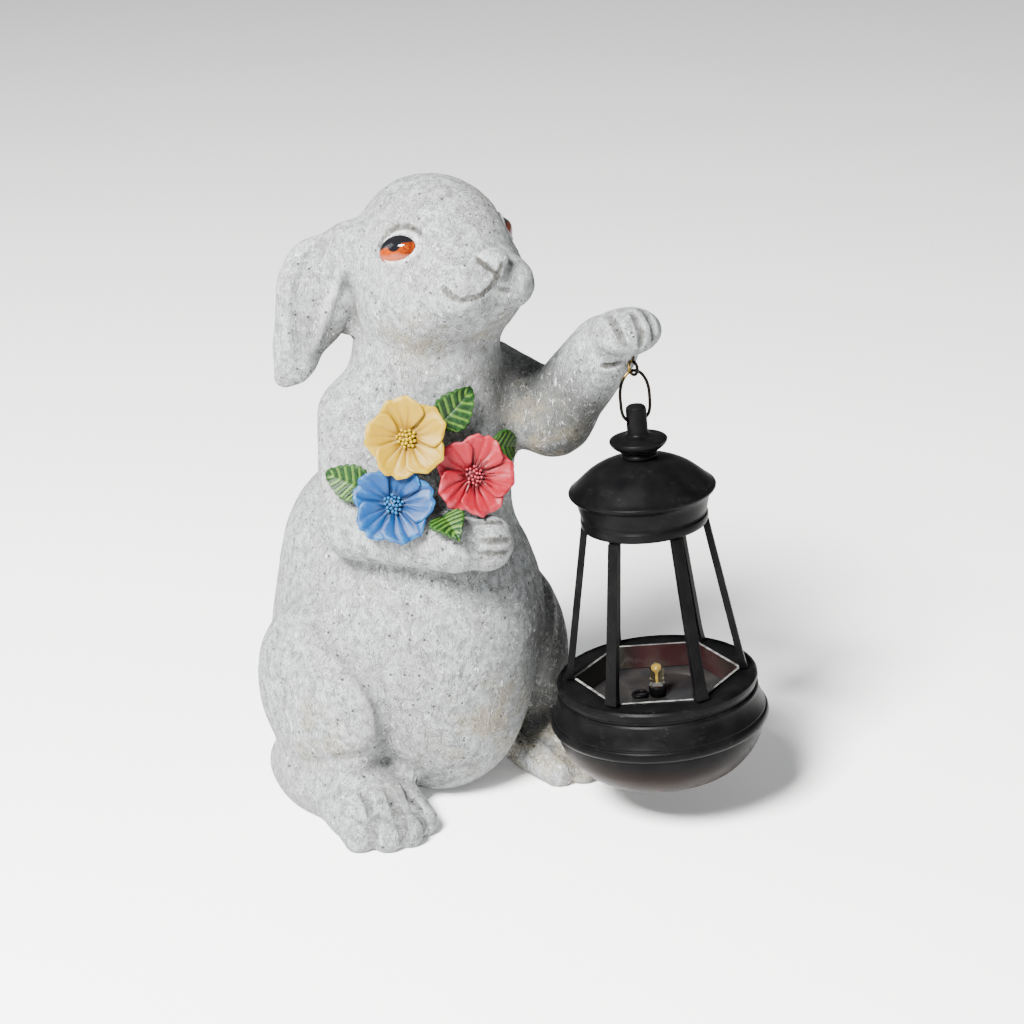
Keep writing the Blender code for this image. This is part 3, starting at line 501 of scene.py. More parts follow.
# Forms that stand on the middle plane or on one side only
SINGLE_FORMS = [
    (Ball((0, 18, 42), (44, 39, 44)), 10),                          # rump
    (Ball((0, 14, 76), (38, 40, 42)), 14),                          # back
    (Ball((0, -10, 62), (42, 41, 54)), 12),                         # belly
    (Ball((0, -14, 30), (30, 31, 32)), 10),                         # foot of the belly
    (Ball((0, -13, 126), (31.5, 29, 44)), 12),                      # chest
    (Ball((0, -16, 166), (24.5, 24, 26)), 12),                      # neck
    (Ball((0, -21, 194.5), (25.5, 30, 28.5)), 8),                   # skull
    (Ball((0, -43, 191.5), (16.5, 15.5, 12.5)), 8),                 # muzzle
    (Ball((0, -43, 182), (9, 9, 7)), 5),                            # chin
    (Ball((0, -55.6, 200.6), (6.0, 4.2, 3.5)), 1.6),                # nose
    (Ball((0, -57.4, 198.0), (2.5, 3.0, 3.3)), 1.2),                # tip of the nose
    (Ball((0, 54, 24), (13, 12, 13)), 4),                           # tail
    (Limb((-25, -9, 142), (-34, -19, 110), 13.5, 12.5), 8),         # near upper arm
    (Limb((-35, -22, 109), (-15, -50, 105), 12.5, 10), 3),          # near forearm
    (Ball((-5, -54.5, 104), (9.5, 8.5, 9.6)), 3),                   # near paw
    (Limb((27, -13, 145), (37, -37, 136), 14, 13.5), 8),            # far upper arm
    (Limb((37, -37, 136), (41, -61, 164), 13.5, 11.5), 5),          # far forearm
    (Ball((41, -72.5, 172.5), (11.5, 12.5, 8.2), (-12, 0, 0)), 4),  # far paw
]


def blend_clay(points):
    """Signed distance to the blended forms, before any line is pressed in."""
    sided = points.copy()
    sided[:, 0] = -np.abs(sided[:, 0])
    distance = SINGLE_FORMS[0][0].distance(points)
    forms = [(form, reach, points) for form, reach in SINGLE_FORMS[1:]]
    forms += [(form, reach, sided) for form, reach in PAIRED_FORMS]
    for form, reach, spots in forms:
        near = form.close_to(spots, reach + SKIN_REACH)
        distance[near] = smooth_min(distance[near], form.distance(spots[near]), reach)
    return distance


def settle(points, distance, rounds=8, probe=0.05, longest_step=2.0):
    """Draw points onto a skin by repeated steps along its slope."""
    for _ in range(rounds):
        here, slope = slope_of(points, distance, probe)
        steepness = np.maximum((slope ** 2).sum(axis=1), 0.2)
        step = np.clip(here / steepness, -longest_step, longest_step)
        points = points - step[:, None] * slope
    return points


def slope_of(points, distance, probe=0.05):
    here = distance(points)
    rises = [distance(points + probe * axis) - here for axis in np.eye(3)]
    return here, np.stack(rises, axis=1) / probe


def rounded_path(corners, steps=4):
    """A smooth path through the corners."""
    knots = np.array([corners[0], *corners, corners[-1]], float)
    path = []
    for before, start, end, after in zip(knots, knots[1:], knots[2:], knots[3:]):
        for share in np.arange(steps) / steps:
            bend = (2 * before - 5 * start + 4 * end - after) * share ** 2
            bend += (3 * start - before - 3 * end + after) * share ** 3
            path.append(start + ((end - before) * share + bend) / 2)
    return np.array([*path, knots[-1]])


class Line:
    """A round tool drawn along the skin, thinner at both ends. It presses in, or adds a bead."""

    def __init__(self, corners, width, depth, soft=1.0, mirrored=False, bead=False):
        path = settle(rounded_path(corners), blend_clay, 6)
        slope = slope_of(path, blend_clay)[1]
        normal = slope / np.maximum(np.linalg.norm(slope, axis=1), 1e-6)[:, None]
        along = np.linspace(0, pi, len(path))
        self.radii = width * (0.45 + 0.55 * np.sin(along) ** 0.5)
        away = self.radii - depth * np.sin(along) ** 0.5
        self.path = path + normal * (-away if bead else away)[:, None]
        self.middle = self.path.mean(axis=0)
        self.span = np.linalg.norm(self.path - self.middle, axis=1).max() + width
        self.width, self.soft, self.mirrored, self.bead = width, soft, mirrored, bead

    def close_to(self, points, margin):
        return np.linalg.norm(points - self.middle, axis=1) < self.span + margin

    def distance(self, points):
        nearest = np.full(len(points), np.inf)
        for start, end, first, last in zip(self.path, self.path[1:], self.radii, self.radii[1:]):
            along = end - start
            share = np.clip((points - start) @ along / max(along @ along, 1e-9), 0.0, 1.0)
            reach = np.linalg.norm(points - start - share[:, None] * along, axis=1)
            nearest = np.minimum(nearest, reach - first - share * (last - first))
        return nearest


# Lines pressed into the clay: toes, fingers of both paws, and the edge of the thigh
LINES = [
    Line([(-46, -33, 17), (-48, -43, 12.5), (-49.5, -49, 2)], 1.7, 2.0, 1.4, True),
    Line([(-38, -36, 17), (-40, -47, 11.5), (-41.8, -54, 2)], 1.7, 2.2, 1.4, True),
    Line([(-29.5, -36, 16), (-32, -47, 11), (-34, -54, 2)], 1.7, 2.0, 1.4, True),
    Line([(-11, -54, 111.5), (-5, -57, 110.5), (-1, -57, 109.5)], 1.1, 0.8),
    Line([(-12, -59, 108), (-6, -62, 107.2), (0, -62, 106.2)], 1.1, 0.9),
    Line([(-12.5, -61, 104), (-7, -63, 103), (-1, -63, 102)], 1.1, 0.9),
    Line([(34.5, -71, 180), (32.5, -79, 176), (33.5, -82, 169.5)], 1.3, 1.2),
    Line([(40, -76, 181), (37.8, -84, 176), (38.5, -84, 169)], 1.3, 1.2),
    Line([(45.5, -75, 180.5), (43.4, -82, 178), (43, -85, 171)], 1.3, 1.2),
    Line([(-46, -4, 72), (-44.5, -16, 67), (-41, -25, 58), (-37, -30, 47), (-35.5, -29.5, 34),
          (-31, -26, 22)], 2.2, 1.6, 3.5, True),
]


def clay_distance(points):
    """Signed distance to the finished clay, in parts; negative is inside. True near the skin."""
    distance = blend_clay(points)
    sided = points.copy()
    sided[:, 0] = -np.abs(sided[:, 0])
    for line in LINES:
        spots = sided if line.mirrored else points
        near = line.close_to(spots, line.soft)
        tool = line.distance(spots[near])
        if line.bead:
            distance[near] = smooth_min(distance[near], tool, line.soft)
        else:
            distance[near] = -smooth_min(-distance[near], tool, line.soft)
    return distance


# Mesh steps

def select_only(piece):
    bpy.ops.object.select_all(action="DESELECT")
    piece.select_set(True)
    bpy.context.view_layer.objects.active = piece


def start_from(name, add, **settings):
    """A fresh primitive with its name."""
    bpy.ops.object.select_all(action="DESELECT")
    add(**settings)
    piece = bpy.context.object
    piece.name = name
    return piece


def apply_modifiers(piece):
    select_only(piece)
    for modifier in list(piece.modifiers):
        bpy.ops.object.modifier_apply(modifier=modifier.name)


def settle_down(piece, matrix=None):
    """Move a piece to its place and keep that place in its mesh."""
    if matrix is not None:
        piece.matrix_world = matrix
    select_only(piece)
    bpy.ops.object.transform_apply(location=True, rotation=True, scale=True)


def new_piece(name, mesh):
    piece = bpy.data.objects.new(name, mesh)
    bpy.context.scene.collection.objects.link(piece)
    return piece


def dress(piece, paint, slot, *nodes):
    """Give a piece its paint and let it stand for CAD nodes. The slot is not used."""
    if paint:
        piece.data.materials.clear()
        piece.data.materials.append(paint)
    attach(piece, "root")
    if nodes:
        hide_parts(*nodes)


def co_of(mesh):
    points = np.empty(len(mesh.vertices) * 3)
    mesh.vertices.foreach_get("co", points)
    return points.reshape(-1, 3)


def set_co(mesh, points):
    mesh.vertices.foreach_set("co", points.ravel())
    mesh.update()


EYE_PLACE = (-20.8, -33.2, 204.1)
EYE_FACING = (-0.77, -0.42, 0.48)
EYE_RADII = (8.0, 5.6, 4.2)
EYE_INSET = 2.7
EYE_TILT = radians(18.0)


def facing(direction, turn=0.0):
    """Matrix that points local Z along the direction, with local Y as near world up as it can be."""
    out = Vector(direction).normalized()
    side = Vector((0, 0, 1)).cross(out).normalized()
    up = out.cross(side)
    axes = Matrix((side, up, out)).transposed().to_4x4()
    return axes @ Matrix.Rotation(turn, 4, "Z")


def ring_round(centre, out, tilt, wide, high, first, last, count=14):
    """Points on an oval round a place on the near side, between two angles in degrees."""
    turn = facing(out, tilt)
    spots = []
    for angle in np.radians(np.linspace(first, last, count)):
        spot = turn @ Vector((wide * cos(angle), high * sin(angle), 0.0))
        spots.append(tuple(Vector(centre) + spot))
    return spots


# Finer carving that the cast shows: lids, nose, mouth, ears, ankles, and the arm's fringe
LINES += [
    Line(ring_round(EYE_PLACE, EYE_FACING, EYE_TILT, 6.9, 4.9, 0, 360, 28), 0.60, 0.5, 0.4, True, True),
    Line(ring_round(EYE_PLACE, EYE_FACING, EYE_TILT, 8.7, 6.8, 10, 165), 0.8, 0.9, 1.2, True),
    Line(ring_round(EYE_PLACE, EYE_FACING, EYE_TILT, 8.6, 6.6, 200, 330), 0.8, 0.35, 1.6, True),
    Line([(-17.8, -51.4, 194.4), (-17.2, -54.0, 193.0), (-16.2, -56.0, 191.4), (-15.0, -57.2, 190.6)],
         1.15, 2.0, 0.6, True),
    Line([(-16.0, -56.2, 190.7), (-14.2, -57.9, 190.5), (-12.5, -58.8, 190.8), (-9.0, -59.5, 191.1),
          (-6.0, -59.2, 192.0), (-3.2, -58.8, 193.2), (-0.9, -58.4, 194.6)], 0.7, 1.15, 0.6),
    Line([(4.6, -58.9, 190.6), (2.3, -58.6, 190.9), (-0.6, -58.6, 192.2), (-2.2, -58.7, 193.4)],
         0.7, 1.3, 0.7),
    Line([(-1.2, -60.2, 197.6), (-1.2, -59, 195.9), (-1.6, -58.4, 194.2), (-2.2, -58.6, 192.8)],
         0.85, 1.5, 0.6),
    Line([(-5.0, -53.2, 202.0), (-5.6, -56.7, 201.2), (-4.6, -58.2, 199.9), (-3.6, -58.6, 198.6)],
         0.75, 1.3, 0.5, True),
    Line([(-4.6, -58.3, 200.6), (-3.4, -58.6, 198.8), (-1.9, -59.4, 197.4)], 0.8, 1.7, 0.4),
    Line([(0.5, -59.9, 201.0), (-0.2, -60.2, 199.4), (-1.0, -60.2, 197.9)], 0.5, 0.7, 0.4),
    Line([(-5.2, -54.2, 202.4), (-3.4, -54.4, 203.6), (0, -53.6, 204.2), (3.4, -54.4, 203.6),
          (5.2, -54.2, 202.4)],
         1.0, 0.6, 0.8, False, True),
    Line([(-46, -4, 72), (-44.5, -16, 67), (-41, -25, 58), (-37, -30, 47), (-35.5, -29.5, 34)],
         1.5, 1.9, 0.9, True),
    Line([(-29.5, -14, 204.6), (-32.7, -5.5, 201.6), (-36.2, -2.6, 197), (-38.6, -1.2, 191),
          (-40.4, 0.2, 183), (-41.1, 0.8, 174.4), (-40.6, 1.0, 166.5), (-39.2, 1.6, 160.4)],
         2.3, 2.1, 1.6, True),
    Line([(-30.5, -14, 197), (-31, -8.0, 187), (-34, -5.0, 176), (-37, 0, 163)], 2.0, 1.4, 2.0, True, True),
    Line([(-54.9, -0.7, 17.5), (-54, -9.5, 19.4), (-50.8, -19.8, 23.5), (-46.3, -27.1, 26.5),
          (-40.1, -30.4, 26.9), (-30, -24, 22.6)], 1.6, 0.9, 2.6, True),
    Line([(33, -69, 161.6), (36.1, -71.2, 161.5), (39.4, -72.9, 162.6)], 1.0, 1.2, 0.8),
    # A low bead along the far thigh's edge, where a painted highlight goes.
    Line([(47.3, -20.3, 62.3), (38.3, -30.4, 48), (33.9, -29, 30.9)], 0.8, 0.5, 0.8, False, True),
]

# Parts of the skin that carry fine carving: low and high corners
FINE_AREAS = [
    ((-32, -66, 182), (32, -22, 212)),      # face
    ((24, -90, 158), (58, -60, 186)),       # far paw
    ((-26, -68, 90), (8, -46, 114)),        # near paw
    ((-60, -60, -1), (-20, -28, 22)),       # near toes
    ((20, -60, -1), (60, -28, 22)),         # far toes
    ((-46, -18, 156), (-26, 6, 206)),       # hollow of the near ear
    ((-49, -34, 30), (-33, 0, 76)),         # edge of the near thigh
]


CROTCH = ((-36, -34, 12), (-22, -16, 30))       # where foot, thigh and belly meet, worn smooth
CROTCH_ROUNDS = 10
# Painted shade in creases: a feeler above the skin finds hollows, and the share caps how dark they get.
FEELER = 1.6                # how far above the skin a hollow is felt for
GROOVE_SHADE_SHARE = 0.8          # how dark a groove gets at most
SKIN_BUMP = 0.16            # height of the cast skin's broad bumps
GROUND_RIM = 0.4            # the skin below this stays flat


def even_out(mesh, values):
    """Each vertex halfway to the mean of its neighbours."""
    ends = np.empty(len(mesh.edges) * 2, int)
    mesh.edges.foreach_get("vertices", ends)
    first, second = ends.reshape(-1, 2).T
    total = np.zeros_like(values)
    np.add.at(total, first, values[second])
    np.add.at(total, second, values[first])
    count = np.bincount(ends, minlength=len(values))
    count = count.reshape(-1, *[1] * (values.ndim - 1))
    return (values + total / np.maximum(count, 1)) / 2


def line_marks(points, bead):
    """How near each point lies to a bead, or to a pressed line, from 0 to 1."""
    sided = points.copy()
    sided[:, 0] = -np.abs(sided[:, 0])
    marks = np.zeros(len(points))
    for line in LINES:
        if line.bead != bead:
            continue
        spots = sided if line.mirrored else points
        near = line.close_to(spots, 1.0)
        mark = smooth_step(0.5, 0.0, line.distance(spots[near])) * min(1.0, 0.9 / line.width)
        marks[near] = np.maximum(marks[near], mark)
    return marks


def carve_rabbit(paint):
    """The cast body: rough clay, settled skin, finer faces where it is carved."""
    rough = bmesh.new()
    for form, reach in SINGLE_FORMS:
        form.rough(rough, 1, reach / 4)
    for form, reach in PAIRED_FORMS:
        form.rough(rough, 1, reach / 4)
        form.rough(rough, -1, reach / 4)
    mesh = bpy.data.meshes.new("cast_rabbit")
    rough.to_mesh(mesh)
    rough.free()
    body = new_piece("cast_rabbit", mesh)
    remesh = body.modifiers.new("Remesh", "REMESH")
    remesh.mode = "VOXEL"
    remesh.voxel_size = FINE_VOXEL
    apply_modifiers(body)
    set_co(body.data, settle(co_of(body.data), clay_distance, 5))

    work = bmesh.new()
    work.from_mesh(body.data)
    chosen = set()
    for face in work.faces:
        middle = face.calc_center_median()
        for low, high in FINE_AREAS:
            if all(low[axis] < middle[axis] < high[axis] for axis in range(3)):
                chosen.update(face.edges)
                break
    bmesh.ops.subdivide_edges(work, edges=list(chosen), cuts=1, use_grid_fill=True)
    bmesh.ops.triangulate(work, faces=[face for face in work.faces if len(face.verts) > 4])
    work.to_mesh(body.data)
    work.free()
    points = co_of(body.data)
    for _ in range(2):
        points = even_out(body.data, points)
        points = settle(points, clay_distance, 2, longest_step=0.6)
    low, high = np.array(CROTCH)
    folded = ((points > low) & (points < high)).all(axis=1)
    for _ in range(CROTCH_ROUNDS):
        points = np.where(folded[:, None], even_out(body.data, points), points)
    points[:, 2] = np.maximum(points[:, 2], 0.0)
    slope = slope_of(points, clay_distance)[1]
    normal = slope / np.maximum(np.linalg.norm(slope, axis=1), 1e-6)[:, None]
    # Painted shade: the larger of how hollow the skin is above each point and how near it lies to a pressed
    # line.
    hollow = 1.0 - clay_distance(points + normal * FEELER) / FEELER
    hollow = GROOVE_SHADE_SHARE * np.maximum(hollow, line_marks(points, False))
    # Raised beads turn pale: paint on the eye and nose rims, a painted highlight along the far thigh's
    # edge.
    ridge_marks_and_highlight = line_marks(points, True)
    bumps = np.array([noise.fractal(Vector(point) * 0.16, 0.7, 2.0, 3) for point in points])
    on_ground = points[:, 2] < GROUND_RIM
    moved = points + normal * (bumps * SKIN_BUMP * ~on_ground)[:, None]
    set_co(body.data, moved * MM)
    for name, values in (("crease_shade", np.clip(hollow, 0, 1)), ("pale_ridge_and_highlight", np.clip(ridge_marks_and_highlight, 0, 1))):
        values = even_out(body.data, even_out(body.data, values))
        layer = body.data.attributes.new(name, "FLOAT", "POINT")
        layer.data.foreach_set("value", values.astype(np.float32))
    select_only(body)
    bpy.ops.object.shade_smooth()
    dress(body, paint, "cast_stone", "rabbit")


# Modelling steps by hand tools; pieces are shaped in millimetres about their own middle

def lathe(name, profile, steps=112, close=False):
    """A turned piece: one point drawn along the profile of (radius, level), then spun about Z."""
    piece = start_from(name, bpy.ops.mesh.primitive_plane_add, size=1.0)
    bpy.ops.object.mode_set(mode="EDIT")
    bpy.ops.mesh.select_all(action="SELECT")
    bpy.ops.mesh.merge(type="CENTER")
    bpy.ops.transform.translate(value=(profile[0][0], 0.0, profile[0][1]))
    stops = list(profile[1:]) + ([profile[0]] if close else [])
    radius, level = profile[0]
    for next_radius, next_level in stops:
        move = {"value": (next_radius - radius, 0.0, next_level - level)}
        bpy.ops.mesh.extrude_region_move(TRANSFORM_OT_translate=move)
        radius, level = next_radius, next_level
    bpy.ops.mesh.select_all(action="SELECT")
    bpy.ops.mesh.remove_doubles(threshold=0.002)
    bpy.ops.mesh.spin(steps=steps, angle=2 * pi, center=(0, 0, 0), axis=(0, 0, 1))
    bpy.ops.mesh.select_all(action="SELECT")
    bpy.ops.mesh.remove_doubles(threshold=0.002)
    bpy.ops.mesh.normals_make_consistent(inside=False)
    bpy.ops.object.mode_set(mode="OBJECT")
    return piece


def soften(piece, width, segments=3, angle=28):
    """Round the piece's edges and shade it smooth."""
    bevel = piece.modifiers.new("Bevel", "BEVEL")
    bevel.width = width
    bevel.segments = segments
    bevel.limit_method = "ANGLE"
    bevel.angle_limit = radians(angle)
    bevel.harden_normals = False
    apply_modifiers(piece)
    bpy.ops.object.shade_smooth_by_angle(angle=radians(40))


def carve_out(piece, tool):
    """Cut the tool out of the piece and throw the tool away."""
    boolean = piece.modifiers.new("Cut", "BOOLEAN")
    boolean.object = tool
    apply_modifiers(piece)
    bpy.data.objects.remove(tool, do_unlink=True)


def drum(name, radius, low, high, sides=96, turn=0.0):
    """A cylinder along Z between two levels."""
    piece = start_from(name, bpy.ops.mesh.primitive_cylinder_add, vertices=sides, radius=radius,
                       depth=high - low, location=(0, 0, (low + high) / 2), rotation=(0, 0, turn))
    settle_down(piece)
    return piece


def place_piece(piece, matrix):
    """Set a piece modelled in millimetres down in the statue."""
    piece.data.transform(Matrix.Scale(MM, 4) @ matrix @ piece.matrix_world)
    piece.matrix_world = Matrix.Identity(4)
    piece.data.update()


def join_pieces(pieces, name):
    bpy.ops.object.select_all(action="DESELECT")
    for piece in pieces:
        piece.select_set(True)
    bpy.context.view_layer.objects.active = pieces[0]
    bpy.ops.object.join()
    pieces[0].name = name
    return pieces[0]


def on_clay(point, out, lift):
    skin = settle(np.array([point], float), clay_distance)[0]
    return Matrix.Translation(Vector(skin) + Vector(out).normalized() * lift)


def add_uv(piece, first, second):
    """Store two values of each vertex as a UV map."""
    for old in list(piece.data.uv_layers):
        piece.data.uv_layers.remove(old)
    layer = piece.data.uv_layers.new(name="strokes")
    corners = np.empty(len(piece.data.loops), int)
    piece.data.loops.foreach_get("vertex_index", corners)
    pairs = np.stack([np.asarray(first)[corners], np.asarray(second)[corners]], axis=1)
    layer.data.foreach_set("uv", pairs.astype(np.float32).ravel())


def smooth_step(low, high, values):
    share = np.clip((values - low) / (high - low), 0.0, 1.0)
    return share * share * (3.0 - 2.0 * share)


def grid(name, across, along):
    """A flat sheet from -1 to 1 across and from 0 to 1 along."""
    sheet = start_from(name, bpy.ops.mesh.primitive_grid_add, x_subdivisions=across,
                       y_subdivisions=along, size=2.0)
    spots = co_of(sheet.data)
    return sheet, spots[:, 0].copy(), (spots[:, 1] + 1.0) / 2.0


def thicken(sheet, thickness, levels=1):
    """Give a sheet its thickness below its face and round it."""
    shell = sheet.modifiers.new("Solidify", "SOLIDIFY")
    shell.thickness = thickness
    shell.offset = -1.0
    if levels:
        rounder = sheet.modifiers.new("Subdivision", "SUBSURF")
        rounder.levels = levels
        rounder.render_levels = levels
    apply_modifiers(sheet)
    bpy.ops.object.shade_smooth()


# Eyes: glossy balls with a slight bulge over the iris



def make_eyes(paint):
    for node, side in (("eye_right", 1), ("eye_left", -1)):
        out = (EYE_FACING[0] * side, *EYE_FACING[1:])
        ball = start_from(node + "_ball", bpy.ops.mesh.primitive_uv_sphere_add, segments=64,
                          ring_count=40, radius=1.0)
        spots = co_of(ball.data)
        bulge = 0.10 * smooth_step(0.62, 0.0, np.linalg.norm(spots[:, :2], axis=1)) * (spots[:, 2] > 0)
        spots *= EYE_RADII
        spots[:, 2] *= 1.0 + bulge
        set_co(ball.data, spots)
        add_uv(ball, spots[:, 0] * side, spots[:, 1])
        spot = on_clay((EYE_PLACE[0] * side, *EYE_PLACE[1:]), out, -EYE_INSET)
        place_piece(ball, spot @ facing(out, EYE_TILT * side))
        select_only(ball)
        bpy.ops.object.shade_smooth()
        dress(ball, paint, "eye_gloss", node)


# Posy: petals are pleated sheets that overlap round a stamen cluster

FLOWER_RADIUS = 14.8
PETAL_FOLDS = (-0.42, 0.02, 0.45)
FLOWERS = [
    # node, near, facing, lift, turn, slot, bead size, strand length
    ("flower_yellow", (-20.1, -33.1, 138.6), (-0.60, -0.73, 0.36), 8.2, 32, "yellow_paint", 0.62, 0.0),
    ("flower_red", (-3.8, -41.8, 124.2), (-0.28, -0.90, 0.32), 8.6, -4, "red_paint", 0.50, 3.8),
    ("flower_blue", (-29.2, -36.9, 118.2), (-0.57, -0.70, 0.43), 6.0, 9, "blue_paint", 0.58, 0.0),
]


def petal(index, seed):
    """One petal along +Y, then turned to its place round the bloom."""
    sheet, across, along = grid("petal", 34, 34)
    jitter = [noise.noise(Vector((seed * 3.1, index * 1.7, shift))) for shift in (0.0, 4.0, 8.0, 12.0)]
    tip = 1.0 - 0.07 * np.exp(-((across - jitter[0] * 0.25) / 0.22) ** 2) - 0.44 * np.abs(across) ** 2.3
    tip -= 0.03 * np.sin(across * 7.0 + jitter[1] * 6.0) ** 2
    wide = 1.6 + (6.1 + jitter[2] * 0.8) * smooth_step(0.0, 0.72, along)
    x = across * wide
    y = 1.4 + (FLOWER_RADIUS - 1.6) * along * tip
    reach = np.hypot(x, y) / FLOWER_RADIUS
    body = smooth_step(0.06, 0.30, along)
    folds = sum(np.exp(-((across - fold - jitter[3] * 0.10) / 0.085) ** 2) for fold in PETAL_FOLDS)
    ribs = np.cos(across * 13.0 + jitter[1] * 3.0) * 0.5 + 0.5
    z = FLOWER_RADIUS * (0.30 * reach ** 2 - 0.12 * reach ** 4) + 0.30
    z += 0.70 * across * body - 0.50 * folds * body * (1.0 - 0.9 * along ** 2)
    z += 0.10 * ribs * body + 0.9 * across ** 2 * body
    z += 0.45 * smooth_step(0.55, 1.0, along) * np.sin(across * 5.2 + jitter[0] * 9.0)
    z -= 0.55 * smooth_step(0.88, 1.0, along) + 0.35 * smooth_step(0.86, 1.0, np.abs(across)) * body
    z += 0.35 * (1.0 - np.abs(across)) * smooth_step(0.2, 0.6, along)
    # Second UV value: low in the folds and at the sides near the base, where the paint puts shade.
    height = np.clip(0.62 - 0.60 * folds * (1.0 - 0.7 * along ** 2) + 0.22 * ribs, 0.0, 1.0)
    height *= 1.0 - 0.45 * smooth_step(0.78, 1.0, np.abs(across)) * smooth_step(0.9, 0.5, along)
    set_co(sheet.data, np.stack([x, y, z], axis=1))
    add_uv(sheet, reach, height)
    thicken(sheet, 0.95)
    settle_down(sheet, Matrix.Rotation(-2 * pi * index / 5, 4, "Z"))
    return sheet


def bead(name, spot, radius, shade):
    grain = start_from(name, bpy.ops.mesh.primitive_ico_sphere_add, subdivisions=2, radius=radius,
                       location=spot)
    settle_down(grain)
    spots = co_of(grain.data)
    middle = np.array(spot)
    lumps = np.array([noise.noise(Vector(point) * 2.4) for point in spots])
    set_co(grain.data, middle + (spots - middle) * (1.0 + 0.30 * lumps)[:, None])
    add_uv(grain, np.full(len(spots), shade), 0.75 + lumps * 0.5)
    return grain


def strand(name, start, end, radius, shade):
    """A thin stalk between two points, thinner at its outer end."""
    start, end = Vector(start), Vector(end)
    stalk = start_from(name, bpy.ops.mesh.primitive_cone_add, vertices=8, radius1=radius,
                       radius2=radius * 0.55, depth=(end - start).length)
    turn = (end - start).to_track_quat("Z", "Y").to_matrix().to_4x4()
    settle_down(stalk, Matrix.Translation((start + end) / 2) @ turn)
    add_uv(stalk, np.full(len(stalk.data.vertices), shade), np.full(len(stalk.data.vertices), 0.6))
    return stalk


def make_flower(seed, node, near, direction, lift, turn, slot, grain, strands, paint):
    pieces = [petal(index, seed) for index in range(5)]
    heart = lathe("heart", [(0.0, 1.9), (1.2, 1.75), (2.3, 1.2), (3.0, 0.5), (3.2, -0.6), (2.6, -1.2),
                            (2.9, -lift + 1.4), (0.0, -lift + 1.0)], 32)
    spots = co_of(heart.data)
    add_uv(heart, np.full(len(spots), 0.02), np.full(len(spots), 0.15))
    pieces.append(heart)
    count = 22
    for index in range(count):
        angle = index * 2.39996
        away = 3.3 * ((index + 0.5) / count) ** 0.5
        up = 2.5 - 0.10 * away ** 2 + 0.3 * sin(index * 1.9)
        spot = (away * cos(angle), away * sin(angle), up)
        pieces.append(bead("grain", spot, grain, 1.6))
        pieces.append(strand("stalk", (spot[0] * 0.6, spot[1] * 0.6, 0.9), spot, 0.26, 1.3))
        if strands and index % 2:
            far = (strands + 2.4 + 0.6 * sin(index * 2.7))
            end = (far * cos(angle), far * sin(angle), 2.0 + 0.12 * far)
            pieces.append(strand("strand", (2.0 * cos(angle), 2.0 * sin(angle), 1.6), end, 0.22, 0.0))
    bloom = join_pieces(pieces, node + "_bloom")
    select_only(bloom)
    bpy.ops.object.shade_smooth()
    place_piece(bloom, on_clay(near, direction, lift) @ facing(direction, radians(turn - 90)))
    dress(bloom, paint, slot, node)


LEAVES = [
    # node, root, tip, facing, width
    ("leaf_top", (-13.0, -39.8, 143.5), (-1.0, -42.2, 154.0), (-0.25, -0.95, 0.15), 13.0),
    ("leaf_left", (-36.8, -32.4, 124.4), (-45.2, -20.8, 129.0), (-0.80, -0.45, 0.40), 12.0),
    ("leaf_right", (6.0, -43.6, 133.0), (19.5, -38.8, 128.5), (0.25, -0.95, 0.10), 11.0),
    ("leaf_bottom", (-20.0, -51.0, 116.0), (-22.2, -62.2, 112.8), (-0.40, -0.45, 0.80), 11.5),
]


def make_leaf(node, root, tip, direction, broad, paint):
    """A pointed leaf: a sunk rib, side veins that rise between dips, and a toothed rim."""
    start, end = Vector(root), Vector(tip)
    length = (end - start).length
    sheet, across, along = grid(node + "_blade", 36, 56)
    x = along * 2.0 - 1.0
    wide = broad / 2 * np.sqrt(np.maximum(1.0 - x ** 2, 0.0)) * (1.0 - 0.35 * x)
    teeth = 1.0 + 0.05 * np.sin(along * 42.0) * np.abs(across) ** 6
    y = across * wide * teeth
    side = np.abs(across)
    phase = along * 6.2 - side * 1.15
    veins = np.exp(-((phase - np.round(phase)) / 0.13) ** 2) * smooth_step(0.02, 0.12, side)
    veins *= smooth_step(1.0, 0.85, side) * smooth_step(0.0, 0.1, along) * smooth_step(1.0, 0.9, along)
    rib = np.exp(-(y / 0.42) ** 2)
    swell = np.cos(phase * 2 * pi)
    z = 0.25 * np.abs(y) - 0.10 * length * x ** 2 + 0.15
    z += -0.42 * rib + 0.30 * veins - 0.22 * swell * side * (1.0 - side ** 4)
    z += 0.35 * np.sin(along * 9.0 + 1.0) * side ** 3
    set_co(sheet.data, np.stack([length / 2 * x, y, z], axis=1))
    add_uv(sheet, np.clip(veins + 0.9 * rib, 0.0, 1.0), side ** 2)
    thicken(sheet, 1.1, 0)
    along_axis = (end - start).normalized()
    out = Vector(direction)
    out = (out - out.dot(along_axis) * along_axis).normalized()
    axes = Matrix((along_axis, out.cross(along_axis), out)).transposed().to_4x4()
    place_piece(sheet, Matrix.Translation((start + end) / 2) @ axes)
    dress(sheet, paint, "leaf_green", node)


# Lantern, in millimetres along its own axis from the base's underside

LANTERN_LEAN = radians(4.0)
LEAN_HEADING = radians(-52.0)
CAMERA_SIDE = radians(-39.4)
EYELET_PLACE = Vector((42.0, -75.0, 158.2))
EYELET_LOW = 141.46
RIM_TOP = 33.9
SKIRT_LOW = 89.1
HOLE_LEVEL = 125.8
HOLE_RADIUS = 1.45
HEX_CORNER = 28.2
FLOOR_TOP = 25.1
WIRE_RADIUS = 0.55


def heading(angle):
    """Plan direction at an angle from the front (-Y), turning towards +X."""
    return Vector((sin(angle), -cos(angle), 0.0))


